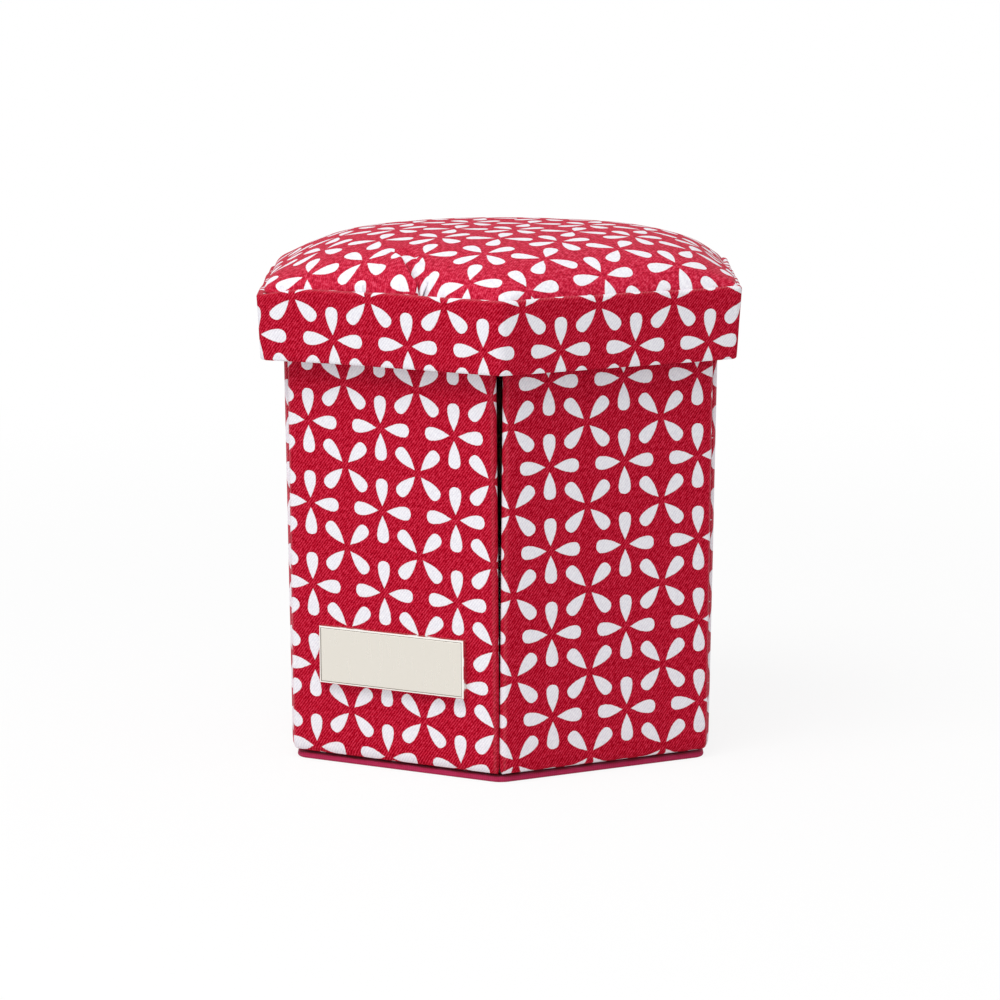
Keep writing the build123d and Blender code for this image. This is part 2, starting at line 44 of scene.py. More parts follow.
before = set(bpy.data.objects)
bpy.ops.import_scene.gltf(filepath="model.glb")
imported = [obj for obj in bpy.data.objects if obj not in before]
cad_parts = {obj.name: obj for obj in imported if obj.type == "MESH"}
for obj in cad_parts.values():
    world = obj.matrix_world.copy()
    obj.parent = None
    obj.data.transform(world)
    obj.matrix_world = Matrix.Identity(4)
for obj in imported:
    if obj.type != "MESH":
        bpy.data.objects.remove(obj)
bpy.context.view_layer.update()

MM = 0.001
SIXTH = pi / 3

# Sizes shared with the solids
WALLS = {"front_left": 240, "front_right": 300, "right": 0, "back_right": 60, "back_left": 120, "left": 180}
CLOTH = 0.3
HINGE_APOTHEM = 46.9
HINGE_Z = 1.65
WALL_APOTHEM = 48.0
WALL_INSIDE = 44.8
WALL_THICKNESS = WALL_APOTHEM - WALL_INSIDE
WALL_HEIGHT = 92.9
WALL_LEAN = 0.87
WALL_GAP = 0.35
WALL_LINING = 0.9
LINING_INSET = 0.6
ROLL_Z = 5.3
TOP_ROUND = 1.6
SIDE_ROUND = 1.2
SOLE_APOTHEM = 46.9
SOLE_CORNER = 3.6
SOLE_THICKNESS = 1.5
FLOOR_APOTHEM = 44.5
FLOOR_LOW, FLOOR_TOP = 4.0, 5.3
RIM_BOTTOM, RIM_TOP = 93.0, 108.4
RIM_BOTTOM_APOTHEM, RIM_TOP_APOTHEM = 53.5, 54.5
RIM_CORNER = 2.6
RIM_CARD = 1.2
CEILING = 98.5
CUSHION_BOTTOM = 102.5
CROWN_APOTHEM = 53.8
CROWN_HEIGHT = 13.06
CROWN_SINK = 0.9
CROWN_FULLNESS = 3.385
CROWN_EDGE = 1.713
CROWN_SQUARING = 4.39
CROWN_ROUND_SHARE = 1.05

# Where the print lies on each cloth: a floret of the upright kind, and the steps to the next one
# along the cloth and up it, in the cloth's own millimetres
PRINTS = {
    "front_left": ((2.53, 54.56), (-19.16, -0.47), (0.26, 18.86)),
    "front_right": ((-3.83, 65.81), (-19.56, -0.15), (0.49, 19.05)),
    "right": ((6.0, 50.2), (-19.2, 0.1), (0.1, 19.0)),
    "back_right": ((-1.5, 60.8), (-19.2, -0.2), (0.2, 19.0)),
    "back_left": ((8.2, 47.1), (-19.2, 0.3), (0.1, 19.0)),
    "left": ((-7.4, 56.0), (-19.2, 0.2), (-0.1, 19.0)),
    "rim": ((-43.3, 5.55), (19.5, -0.2), (-0.3, 19.1)),
}


# Nodes and materials


def linear(code):
    """An sRGB hex colour as the linear RGBA that nodes take."""
    channels = [int(code[n : n + 2], 16) / 255 for n in (1, 3, 5)]
    return [c / 12.92 if c <= 0.04045 else ((c + 0.055) / 1.055) ** 2.4 for c in channels] + [1.0]


def add(tree, kind, links=None, **settings):
    """Adds a node, sets it, and feeds each named or numbered input with a socket or a value."""
    node = tree.nodes.new(kind)
    for name, value in settings.items():
        setattr(node, name, value)
    for key, source in (links or {}).items():
        if isinstance(source, bpy.types.NodeSocket):
            tree.links.new(source, node.inputs[key])
        else:
            node.inputs[key].default_value = source
    return node


def calc(tree, way, *values, kind="ShaderNodeMath"):
    """The result of a sum on sockets and numbers."""
    return add(tree, kind, dict(enumerate(values)), operation=way).outputs[0]


def spread(tree, value, low, high, to_low=0.0, to_high=1.0, way="LINEAR"):
    """A value with one range of it spread over another, and held at both ends."""
    links = {"Value": value, "From Min": low, "From Max": high, "To Min": to_low, "To Max": to_high}
    return add(tree, "ShaderNodeMapRange", links, interpolation_type=way).outputs[0]


def mixed_value(tree, share, one, two):
    return add(tree, "ShaderNodeMix", {"Factor": share, 2: one, 3: two}, data_type="FLOAT").outputs[0]


def mixed_colour(tree, share, one, two):
    return add(tree, "ShaderNodeMix", {"Factor": share, 6: one, 7: two}, data_type="RGBA").outputs[2]


def toned(tree, value, codes, places=(0.0, 1.0)):
    """A value turned to colour by a ramp of colours at those places."""
    node = add(tree, "ShaderNodeValToRGB", {"Fac": value})
    stops = node.color_ramp.elements
    for n, (place, code) in enumerate(zip(places, codes)):
        stop = stops[n] if n < 2 else stops.new(place)
        stop.position, stop.color = place, linear(code)
    return node.outputs[0]


def bumped(tree, height, strength, depth):
    """A normal that follows a height, at a depth in millimetres."""
    links = {"Height": height, "Strength": strength, "Distance": depth * MM}
    return add(tree, "ShaderNodeBump", links).outputs[0]


def own_place(tree, stretch=(1, 1, 1)):
    """The object's own coordinates in millimetres, stretched along its axes."""
    place = add(tree, "ShaderNodeTexCoord").outputs["Object"]
    return add(tree, "ShaderNodeMapping", {"Vector": place, "Scale": [s / MM for s in stretch]}).outputs[0]


def blank_material(name):
    material = bpy.data.materials.new(name)
    material.use_nodes = True
    material.node_tree.nodes.clear()
    return material, material.node_tree


def finish_material(tree, links):
    """Ends a material in one shader, fed with those links."""
    shader = add(tree, "ShaderNodeBsdfPrincipled", links)
    add(tree, "ShaderNodeOutputMaterial", {"Surface": shader.outputs[0]})


# Half width of a petal over its length, from its pointed inner end to its round outer end
PETAL_PROFILE = [(0, 0), (0.15, 0.31), (0.3, 0.59), (0.45, 0.81), (0.6, 0.95), (0.75, 1)]
PETAL_PROFILE += [(0.85, 0.95), (0.92, 0.8), (0.97, 0.56), (1, 0)]
PETAL_START, PETAL_END = 0.95, 7.45  # from the floret's middle
PETAL_HALF_WIDTH = 1.63
PRINT_STEP = 19.1
PRINT_EDGE = 0.2  # how far the white fades into the red
PRINT_WANDER = 0.012  # how far its outline wanders, in steps of the lattice
THREAD = 0.56  # twill line spacing; the real one is near 0.3, drawn coarser so that it shows
WAVE_STEP = 2 * pi / 20  # a wave texture's own spacing at a scale of 1


def floret_mask(tree, x, y):
    """White where a floret's petals are, from its lattice coordinates: two kinds of floret, the
    second turned by an eighth and moved by half a step."""
    masks = []
    for shift in (0.0, 0.5):
        near = []
        for value in (x, y):
            moved = calc(tree, "SUBTRACT", value, shift)
            near.append(calc(tree, "SUBTRACT", moved, calc(tree, "ROUND", moved)))
        if shift:
            sums = [calc(tree, way, *near) for way in ("ADD", "SUBTRACT")]
            near = [calc(tree, "MULTIPLY", s, sqrt(0.5)) for s in sums]
        sizes = [calc(tree, "ABSOLUTE", n) for n in near]
        along, across = [calc(tree, way, *sizes) for way in ("MAXIMUM", "MINIMUM")]
        share = spread(tree, along, PETAL_START / PRINT_STEP, PETAL_END / PRINT_STEP)
        profile = add(tree, "ShaderNodeFloatCurve", {"Value": share})
        curve = profile.mapping.curves[0]
        curve.points[0].location, curve.points[1].location = PETAL_PROFILE[0], PETAL_PROFILE[-1]
        for point in PETAL_PROFILE[1:-1]:
            curve.points.new(*point)
        profile.mapping.update()
        half = calc(tree, "MULTIPLY", profile.outputs[0], PETAL_HALF_WIDTH / PRINT_STEP)
        inside = calc(tree, "SUBTRACT", half, across)
        masks.append(spread(tree, inside, 0.0, PRINT_EDGE / PRINT_STEP, way="SMOOTHSTEP"))
    return calc(tree, "MAXIMUM", *masks)


def printed_cotton(name, reds, twill, sheen):
    """Cotton printed with white florets: matt, with a fine diagonal weave that breaks up the colour, and a
    faint fuzz that lightens it where it is seen edge on. Along folds and edges it turns paler pink in
    patches: partly wear, partly a painted highlight."""
    material, tree = blank_material(name)
    vectors = "ShaderNodeVectorMath"
    place = add(tree, "ShaderNodeUVMap", uv_map="print").outputs[0]
    cloth = add(tree, vectors, {0: place, "Scale": PRINT_STEP}, operation="SCALE").outputs[0]
    wander = add(tree, "ShaderNodeTexNoise", {"Vector": cloth, "Scale": 2.4, "Detail": 2.0})
    centred = calc(tree, "SUBTRACT", wander.outputs["Color"], (0.5, 0.5, 0.5), kind=vectors)
    ragged = calc(tree, "MULTIPLY_ADD", centred, (PRINT_WANDER, PRINT_WANDER, 0.0), place, kind=vectors)
    split = add(tree, "ShaderNodeSeparateXYZ", {0: ragged})
    mask = floret_mask(tree, split.outputs[0], split.outputs[1])

    turned = add(tree, "ShaderNodeMapping", {"Vector": cloth, "Rotation": (0, 0, radians(38))}).outputs[0]
    ribs = {"Vector": turned, "Scale": WAVE_STEP / THREAD, "Distortion": 3.4, "Detail": 2.0}
    ribs.update({"Detail Scale": 3.0, "Detail Roughness": 0.6})
    lines = add(tree, "ShaderNodeTexWave", ribs).outputs["Fac"]
    slubs = {"Vector": cloth, "Scale": 1.15, "Detail": 4.0, "Roughness": 0.75}
    slubs = spread(tree, add(tree, "ShaderNodeTexNoise", slubs).outputs["Fac"], 0.33, 0.67)
    weave = mixed_value(tree, twill, slubs, lines)
    red = toned(tree, weave, reds, (0.2, 0.5, 0.85))
    white = toned(tree, weave, ("#DCDAE4", "#FAF9FC"))
    # Paler pink in patches along folds and edges: partly wear, partly a painted highlight where the rounded
    # edges catch the light.
    wear_and_highlight = add(tree, "ShaderNodeAttribute", attribute_name="fold").outputs["Fac"]
    wear_and_highlight_patches = calc(tree, "MULTIPLY", wear_and_highlight, wander.outputs["Fac"])
    colour = mixed_colour(tree, wear_and_highlight_patches, mixed_colour(tree, mask, red, white), linear("#E9B7C0"))
    links = {"Base Color": colour, "Roughness": 0.95, "Specular IOR Level": 0.02, "Sheen Weight": sheen}
    links.update({"Sheen Roughness": 0.45, "Normal": bumped(tree, weave, 0.5, 0.08)})
    finish_material(tree, links)
    return material


def plain_cotton(name, shades, spacing):
    """Plain woven cotton glued over board: two crossing sets of threads, matt, slightly mottled."""
    material, tree = blank_material(name)
    place = own_place(tree)
    links = {"Vector": place, "Scale": WAVE_STEP / spacing, "Distortion": 1.2, "Detail": 1.0}
    threads = [add(tree, "ShaderNodeTexWave", links, bands_direction=way).outputs["Fac"] for way in "XZ"]
    mottle = add(tree, "ShaderNodeTexNoise", {"Vector": place, "Scale": 0.9, "Detail": 5.0}).outputs["Fac"]
    weave = mixed_value(tree, 0.5, calc(tree, "MULTIPLY", *threads), mottle)
    links = {"Base Color": toned(tree, weave, shades), "Roughness": 0.88, "Specular IOR Level": 0.25}
    links.update({"Sheen Weight": 0.08, "Normal": bumped(tree, weave, 0.4, 0.08)})
    finish_material(tree, links)
    return material


def polished_metal(name, code, roughness, scratch=0.0):
    """Plated or polished metal: bright, with faint wipe marks that spread its reflections a little."""
    material, tree = blank_material(name)
    marks = {"Vector": own_place(tree, (0.9, 0.9, 0.16)), "Scale": 1.0, "Detail": 6.0}
    marks = add(tree, "ShaderNodeTexNoise", marks).outputs["Fac"]
    rough = spread(tree, marks, 0.3, 0.7, roughness * 0.8, roughness * 1.3)
    links = {"Base Color": linear(code), "Metallic": 1.0, "Roughness": rough}
    finish_material(tree, {**links, "Normal": bumped(tree, marks, scratch, 0.01)})
    return material


def grained(name, tones, scale, roughness, depth, stretch=(1, 1, 1)):
    """A dull natural or moulded material with its grain: wood, board, card or plastic."""
    material, tree = blank_material(name)
    grain = {"Vector": own_place(tree, stretch), "Scale": scale, "Detail": 8.0, "Roughness": 0.62}
    grain = add(tree, "ShaderNodeTexNoise", {**grain, "Distortion": 0.4}).outputs["Fac"]
    links = {"Base Color": toned(tree, grain, tones, (0.35, 0.68)), "Roughness": roughness}
    finish_material(tree, {**links, "Normal": bumped(tree, grain, 0.5, depth)})
    return material


def spun_thread(name, tones):
    """Spun sewing thread wound side by side: each turn has a soft shine and twisted plies."""
    material, tree = blank_material(name)
    plies = {"Vector": own_place(tree), "Scale": 1.4, "Distortion": 3.0, "Detail": 2.0}
    plies = add(tree, "ShaderNodeTexWave", plies, bands_direction="DIAGONAL").outputs["Fac"]
    links = {"Base Color": toned(tree, plies, tones), "Roughness": 0.6, "Sheen Weight": 0.15}
    finish_material(tree, {**links, "Normal": bumped(tree, plies, 0.3, 0.05)})
    return material


TAPE_FACE = 0.68  # half the width of the tape's flat face, in centimetres
# The spacing of the tape's marks, how far from its middle they start, and their share of the spacing
TAPE_MARKS = ((0.1, 0.52, 0.18), (1.0, 0.34, 0.03))


def coated_tape(name, tones):
    """Coated yellow measuring tape: smooth and slightly glossy, with printed marks at each millimetre
    along both edges and longer ones at each centimetre. Its map counts in centimetres."""
    material, tree = blank_material(name)
    split = add(tree, "ShaderNodeSeparateXYZ", {0: add(tree, "ShaderNodeUVMap", uv_map="print").outputs[0]})
    along, across = split.outputs[0], split.outputs[1]
    edge = calc(tree, "ABSOLUTE", across)
    face = calc(tree, "LESS_THAN", edge, TAPE_FACE)
    marks = []
    for each, start, wide in TAPE_MARKS:
        share = calc(tree, "FRACT", calc(tree, "DIVIDE", along, each))
        line = calc(tree, "LESS_THAN", share, wide)
        length = calc(tree, "MULTIPLY", calc(tree, "GREATER_THAN", edge, start), face)
        marks.append(calc(tree, "MULTIPLY", line, length))
    cloth = {"Vector": own_place(tree), "Scale": 1.2, "Detail": 3.0}
    cloth = add(tree, "ShaderNodeTexNoise", cloth).outputs["Fac"]
    mark = calc(tree, "MAXIMUM", *marks)
    links = {"Base Color": mixed_colour(tree, mark, toned(tree, cloth, tones), linear("#2A251C"))}
    finish_material(tree, {**links, "Roughness": 0.42, "Normal": bumped(tree, cloth, 0.3, 0.03)})
    return material


WALL_REDS = ("#900016", "#B60A27", "#D63752")
# The crown's reds are a lighter copy of the walls': painted light, for the crown's top being lit more from
# above.
CROWN_REDS_PAINTED_LIGHTER = ("#A00A28", "#C41C3A", "#DE4C66")
BEECH = ("#C08F5A", "#DDB582")
ALONG_GRAIN = 0.12  # a millimetre along the wood's grain counts as this much, which draws it out
LOOKS = (
    (printed_cotton, "printed_cotton_twill", WALL_REDS, 0.5, 0.0),
    (printed_cotton, "printed_cotton_crown", CROWN_REDS_PAINTED_LIGHTER, 0.2, 0.09),
    (plain_cotton, "fuchsia_cotton", ("#A0123F", "#C83565"), 0.45),
    (plain_cotton, "white_elastic", ("#D9D7D2", "#F4F3F0"), 0.8),
    (polished_metal, "nickel_plate", "#E9E4DA", 0.3, 0.1),
    # A lighter nickel for the plate's edge, as a painted highlight, and a darker one for its fine line, as a
    # painted dark reflection.
    (polished_metal, "nickel_edge", "#FBF8F2", 0.12),
    (polished_metal, "dulled_nickel", "#8A8177", 0.5),
    (polished_metal, "polished_steel", "#C9CACC", 0.22, 0.3),
    (grained, "waxed_beech", BEECH, 0.9, 0.45, 0.05, (1, 1, ALONG_GRAIN)),
    (grained, "waxed_beech_board", BEECH, 0.9, 0.45, 0.05, (ALONG_GRAIN, 1, 1)),
    (grained, "grey_bookboard", ("#8B8377", "#AAA294"), 1.6, 0.95, 0.08),
    (grained, "pale_card", ("#E7DFCC", "#F2ECDD"), 1.2, 0.85, 0.03),
    (grained, "ivory_abs", ("#E8E5DA", "#F0EEE6"), 0.5, 0.3, 0.01),
    (spun_thread, "thread_white", ("#CFCDC6", "#F3F2EE")),
    (spun_thread, "thread_black", ("#0B0B0D", "#26262A")),
    (spun_thread, "thread_navy", ("#0B1436", "#22305F")),
    (coated_tape, "coated_tape", ("#DDB63A", "#F2D35E")),
)
materials = {name: make(name, *look) for make, name, *look in LOOKS}


# Making pieces


def about_z(direction):
    """Turns a wall that faces +Y to its own direction."""
    return Matrix.Rotation(radians(direction - 90), 4, "Z")


def onto_wall(bm, wall):
    """Moves a shape from a wall's own frame to the box's, both in millimetres."""
    matrix = (
        about_z(WALLS[wall])
        @ Matrix.Translation((0, HINGE_APOTHEM, HINGE_Z))
        @ Matrix.Rotation(radians(-WALL_LEAN), 4, "X")
        @ Matrix.Translation((0, WALL_INSIDE - HINGE_APOTHEM, ROLL_Z - HINGE_Z))
    )
    bmesh.ops.transform(bm, matrix=matrix, verts=bm.verts)


def spoke(turn, reach=1.0, height=0.0):
    """A point that far out from the upright axis, at a turn in radians."""
    return Vector((reach * cos(turn), reach * sin(turn), height))


def lattice(point, layout):
    """A point of a cloth in steps of its print's lattice."""
    (u0, v0), (a, c), (b, d) = layout
    u, v = point[0] - u0, point[1] - v0
    scale = a * d - b * c
    return (d * u - b * v) / scale, (a * v - c * u) / scale


def outwards(bm):
    bmesh.ops.recalc_face_normals(bm, faces=bm.faces)


def bevelled(bm, edges, width, segments, material=-1):
    shape = {"offset": width, "segments": segments, "profile": 0.5, "material": material}
    bmesh.ops.bevel(bm, geom=edges, affect="EDGES", offset_type="OFFSET", **shape)


def placed(name, data):
    """An object of that data, in the scene."""
    obj = bpy.data.objects.new(name, data)
    bpy.context.scene.collection.objects.link(obj)
    return obj


def finish_mesh(bm, name, material):
    """Turns a shape in millimetres to a smooth object in metres, at the origin."""
    bmesh.ops.scale(bm, vec=(MM, MM, MM), verts=bm.verts)
    mesh = bpy.data.meshes.new(name)
    bm.to_mesh(mesh)
    bm.free()
    mesh.shade_smooth()
    mesh.materials.append(materials[material])
    return placed(name, mesh)


def thicken(obj, thickness, offset=-1):
    """Gives a sheet its thickness: inwards from the side that shows, or to both sides at offset 0."""
    solid = obj.modifiers.new("thickness", "SOLIDIFY")
    solid.thickness = thickness * MM
    solid.offset = offset


def dress(obj, body, slot, *nodes):
    """Puts a piece on its body, in place of those nodes."""
    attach(obj, body)
    if nodes:
        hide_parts(*nodes)


def grid_sheet(columns, rows, place, cloth=None, layout=None, closed=False, wear_and_highlight=None):
    """A sheet of cloth from a grid: place gives the point for each column and row value, and cloth the point
    of the flat cloth, which sets the print's map. The last function says how much paler a fold is there:
    partly wear, partly a painted highlight."""
    bm = bmesh.new()
    across, up = len(columns) - 1, len(rows) - 1
    bmesh.ops.create_grid(bm, x_segments=across, y_segments=up, size=0.5)
    prints = bm.loops.layers.uv.new("print")
    folds = bm.verts.layers.float.new("fold")
    index = {v: (round((v.co.x + 0.5) * across), round((v.co.y + 0.5) * up)) for v in bm.verts}
    if cloth:
        for loop in (loop for face in bm.faces for loop in face.loops):
            i, j = index[loop.vert]
            loop[prints].uv = lattice(cloth(columns[i], rows[j]), layout)
    for vert, (i, j) in index.items():
        vert.co = place(columns[i], rows[j])
        if wear_and_highlight:
            vert[folds] = wear_and_highlight(columns[i], rows[j])
    if closed:
        bmesh.ops.remove_doubles(bm, verts=bm.verts, dist=0.001)
    return bm


def stations(*stretches):
    """Values along a line: each stretch is its end and its number of steps, after the first value."""
    values = [stretches[0]]
    for end, steps in stretches[1:]:
        start = values[-1]
        values += [start + (end - start) * n / steps for n in range(1, steps + 1)]
    return values


def bump_of(value, middle, width):
    """A smooth bump, 1 at its middle."""
    return exp(-(((value - middle) / width) ** 2))


def running(path):
    """How far along a path, of pairs or of vectors, each of its points lies."""
    lengths = [0.0]
    for one, two in zip(path, path[1:]):
        gap = dist(one, two) if isinstance(one, tuple) else (two - one).length
        lengths.append(lengths[-1] + gap)
    return lengths


# Walls

MITRE = tan(radians(30))
OUTER_HALF = WALL_APOTHEM * MITRE - WALL_GAP / 2
SIDE_TURN = radians(120)  # the cloth turns this much round the panel's upright edges
SIDE_FLAT = OUTER_HALF - SIDE_ROUND / tan(radians(30))  # where the flat front ends
SIDE_LEG = 1.1  # straight part of the turn-in beyond the rounded edge
FRONT_TOP = WALL_HEIGHT - TOP_ROUND
ROLL_SQUARE = 0.16  # how far the padding squares the lower roll, as a share of its radius
ROLL_DROP = 1.08  # how much deeper than round the roll hangs
ROLL_END = -WALL_THICKNESS * (pi / 2 - 0.285)  # where a wall's cloth ends and its hinge strip goes on
RIGHT_SWELL = 0.45  # the right panel stands out by this along one side
SWELL_MIDDLE = SWELL_WIDTH = 38  # height of that swell
SLACK = 0.1  # how far the padded front swells and dips
CORNER_POWER = 2.5  # how squarely the wrapped sides and ends meet
# How much further a panel's front reaches at its two upright edges, first the one at -X
REACH = {"front_left": (0.0, 1.2), "front_right": (1.0, 0.5), "left": (-0.25, 0.0), "right": (0.0, -0.25)}
# How far a panel's upright edges stand back at its top, where the front corner gapes
GAPE = {"front_left": (0.25, 0.0), "front_right": (0.0, -0.1)}
# Upright folds are painted paler: partly wear, partly a painted highlight along each rounded fold.
FOLD_WEAR_AND_HIGHLIGHT, GAPE_WEAR_AND_HIGHLIGHT = 0.4, 0.1  # how pale an upright fold is, and the one at the front corner


def side_wrap(u, flats):
    """Across the panel: the place along the wall and the depth behind the front, for a distance u
    along the cloth from the middle; the front is flat as far as flats to each side."""
    size, way = abs(u), 1 if u > 0 else -1
    flat = flats[u > 0]
    if size <= flat:
        return u, 0.0
    turn = min((size - flat) / SIDE_ROUND, SIDE_TURN)
    x = flat + SIDE_ROUND * sin(turn)
    depth = SIDE_ROUND * (1 - cos(turn))
    leg = size - flat - SIDE_ROUND * turn
    if leg > 0:
        x -= leg * cos(pi - SIDE_TURN)
        depth += leg * sin(pi - SIDE_TURN)
    return way * x, depth


def end_wrap(v):
    """Up the panel: the height and the depth behind the front, for a distance v along the cloth."""
    if v < 0:
        turn = -v / WALL_THICKNESS
        radius = WALL_THICKNESS * (1 + ROLL_SQUARE * sin(2 * turn) ** 3)
        return -radius * sin(turn) * ROLL_DROP, WALL_THICKNESS - radius * cos(turn)
    if v > FRONT_TOP:
        turn = min((v - FRONT_TOP) / TOP_ROUND, pi / 2)
        leg = max(v - FRONT_TOP - TOP_ROUND * pi / 2, 0)
        return FRONT_TOP + TOP_ROUND * sin(turn), TOP_ROUND * (1 - cos(turn)) + leg
    return v, 0.0


def wall_cloth(wall):
    """The printed cloth wrapped round a panel, with its rolled lower edge."""
    depth = WALL_THICKNESS - WALL_LINING
    left, right = flats = [SIDE_FLAT + reach for reach in REACH.get(wall, (0.0, 0.0))]
    gapes = GAPE.get(wall, (0.0, 0.0))
    turned = SIDE_ROUND * SIDE_TURN
    start, end = -left - turned, right + turned
    columns = stations(start - SIDE_LEG, (start, 2), (-left, 8), (right, 20), (end, 8), (end + SIDE_LEG, 2))
    top = FRONT_TOP + TOP_ROUND * pi / 2
    rows = stations(ROLL_END, (0, 10), (FRONT_TOP, 34), (top, 6), (top + depth - TOP_ROUND, 2))
    seed = WALLS[wall] * 0.37

    def place(u, v):
        x, side_depth = side_wrap(u, flats)
        z, end_depth = end_wrap(v)
        x -= copysign(gapes[u > 0] * max(z / WALL_HEIGHT, 0) * min(abs(x) / OUTER_HALF, 1) ** 12, x)
        swell = SLACK * noise.noise((u / 16 + seed, v / 19, seed)) * (1 - (abs(x) / OUTER_HALF) ** 6)
        if wall == "right":
            swell += RIGHT_SWELL * bump_of(z, SWELL_MIDDLE, SWELL_WIDTH) * min(max(-x / OUTER_HALF, 0) * 2, 1)
        back = min((side_depth**CORNER_POWER + end_depth**CORNER_POWER) ** (1 / CORNER_POWER), depth)
        x *= 1 - MITRE * end_depth / OUTER_HALF
        return Vector((x, WALL_THICKNESS - back + swell, z))

    def wear_and_highlight(u, v):
        """Paler along the upright folds, most at a fold's middle, and least at the front corner: partly wear,
        partly a painted highlight where the rounded fold catches the light.
        """
        off = abs(u) - flats[u > 0] - turned * 0.3
        return (GAPE_WEAR_AND_HIGHLIGHT if gapes[u > 0] else FOLD_WEAR_AND_HIGHLIGHT) * bump_of(off, 0, 0.35)

    bm = grid_sheet(columns, rows, place, lambda u, v: (u, v), PRINTS[wall], wear_and_highlight=wear_and_highlight)
    bmesh.ops.reverse_faces(bm, faces=bm.faces)
    onto_wall(bm, wall)
    obj = finish_mesh(bm, f"wall_cloth_{wall}", "printed_cotton_twill")
    thicken(obj, CLOTH)
    dress(obj, f"wall_{wall}", "printed_cloth", f"wall_cover_{wall}")


LINING_ROUND = 0.55
LINING_BANDS = 8


def wall_lining(wall):
    """The padded fuchsia panel glued inside a wall."""
    half = WALL_INSIDE * MITRE - WALL_GAP / 2 - LINING_INSET / cos(radians(30))
    low = -sqrt((WALL_THICKNESS - LINING_INSET) ** 2 - WALL_LINING**2)
    high = WALL_HEIGHT - LINING_INSET
    bm = bmesh.new()
    bmesh.ops.create_cube(bm, size=1)
    bmesh.ops.scale(bm, vec=(2 * half, WALL_LINING, high - low), verts=bm.verts)
    bmesh.ops.translate(bm, vec=(0, WALL_LINING / 2, (low + high) / 2), verts=bm.verts)
    inner = [e for e in bm.edges if all(v.co.y < WALL_LINING / 2 for v in e.verts)]
    bevelled(bm, inner, LINING_ROUND, 4)
    for n in range(1, LINING_BANDS):
        cut = (0, 0, low + (high - low) * n / LINING_BANDS)
        whole = bm.verts[:] + bm.edges[:] + bm.faces[:]
        bmesh.ops.bisect_plane(bm, geom=whole, plane_co=cut, plane_no=(0, 0, 1))
    onto_wall(bm, wall)
    obj = finish_mesh(bm, f"wall_lining_cloth_{wall}", "fuchsia_cotton")
    dress(obj, f"wall_{wall}", "fuchsia_cloth", f"wall_lining_{wall}")


STRIP_START = 33.0
STRIP_END = 45.7  # a reach near the wall's roll; an end point is worked out from it but not used
STRIP_CLEAR = 0.16  # the strip lies this far off the roll
STRIP_THICKNESS = 0.2
STRIP_TURNS = (-90, -84, -78, -72)  # how far up the roll it follows


def hinge_strip(wall):
    """The cloth that runs from under the floor to a wall's rolled edge."""
    around = WALL_THICKNESS + STRIP_CLEAR
    path = [(reach, HINGE_Z) for reach in stations(STRIP_START, (FLOOR_APOTHEM - 0.4, 8))]
    for a in map(radians, STRIP_TURNS):
        path.append((WALL_INSIDE + around * cos(a), ROLL_Z + around * sin(a) * ROLL_DROP))
    lengths = running(path)

    def place(share, row):
        reach, height = path[row]
        return Vector((share * (reach * MITRE - WALL_GAP), reach, height))

    def cloth(share, row):
        return share * path[row][0] * MITRE, ROLL_END - lengths[-1] + lengths[row]

    bm = grid_sheet(stations(-1, (1, 16)), list(range(len(path))), place, cloth, PRINTS[wall])
    bmesh.ops.transform(bm, matrix=about_z(WALLS[wall]), verts=bm.verts)
    obj = finish_mesh(bm, f"hinge_strip_{wall}", "printed_cotton_twill")
    thicken(obj, STRIP_THICKNESS, offset=0)
    way, height = spoke(radians(WALLS[wall])), Vector((0, 0, HINGE_Z))
    start, end = [(way * reach + height) * MM for reach in (FLOOR_APOTHEM, STRIP_END)]
    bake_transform(obj)
    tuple(start)
    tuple(end)
    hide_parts("hinge_cloth")


for wall in WALLS:
    wall_cloth(wall)
    wall_lining(wall)
    hinge_strip(wall)


# Sole and floor


def soft_plate(name, apothem, corner, low, high, edge, material):
    """A six-sided cloth-covered plate with rounded corners and softened edges."""
    bm = bmesh.new()
    bmesh.ops.create_circle(bm, cap_ends=True, segments=6, radius=apothem / cos(SIXTH / 2))
    bmesh.ops.translate(bm, vec=(0, 0, low), verts=bm.verts)
    raised = bmesh.ops.extrude_face_region(bm, geom=bm.faces[:])["geom"]
    raised = [g for g in raised if isinstance(g, bmesh.types.BMVert)]
    bmesh.ops.translate(bm, vec=(0, 0, high - low), verts=raised)
    outwards(bm)
    upright = [e for e in bm.edges if abs(e.verts[0].co.z - e.verts[1].co.z) > 0.1]
    bevelled(bm, upright, corner * tan(radians(30)), 6)
    level = [e for e in bm.edges if abs(e.verts[0].co.z - e.verts[1].co.z) < 0.01]
    bevelled(bm, level, edge, 4)
    outwards(bm)
    return finish_mesh(bm, name, material)


SOLE_SHORT = 0.2  # its cloth stops this far under the solid's top, clear of the hinge strips

sole_top = SOLE_THICKNESS - SOLE_SHORT
sole = soft_plate("sole_cloth", SOLE_APOTHEM, SOLE_CORNER, 0, sole_top, 0.6, "fuchsia_cotton")
dress(sole, "base", "fuchsia_cloth", "sole_cover")
floor_pad = soft_plate("floor_cloth", FLOOR_APOTHEM, 0.8, FLOOR_LOW, FLOOR_TOP, 0.55, "fuchsia_cotton")
dress(floor_pad, "base", "fuchsia_cloth", "floor_lining")


# Name plate

PLATE_WIDTH, PLATE_HEIGHT, PLATE_DEPTH = 38.2, 13.3, 1.5
PLATE_METAL = 0.5
PLATE_HEIGHT_ON_WALL = 20.3
PLATE_EDGE, PLATE_EDGE_ROUND = 0.4, 0.32
LINE_WIDTH, LINE_DEPTH = 0.14, 0.06


def inset_face(bm, face, width, depth=0.0):
    """Insets a face and gives the faces round it."""
    shape = {"thickness": width, "depth": depth, "use_even_offset": True}
    return set(bmesh.ops.inset_region(bm, faces=[face], **shape)["faces"])


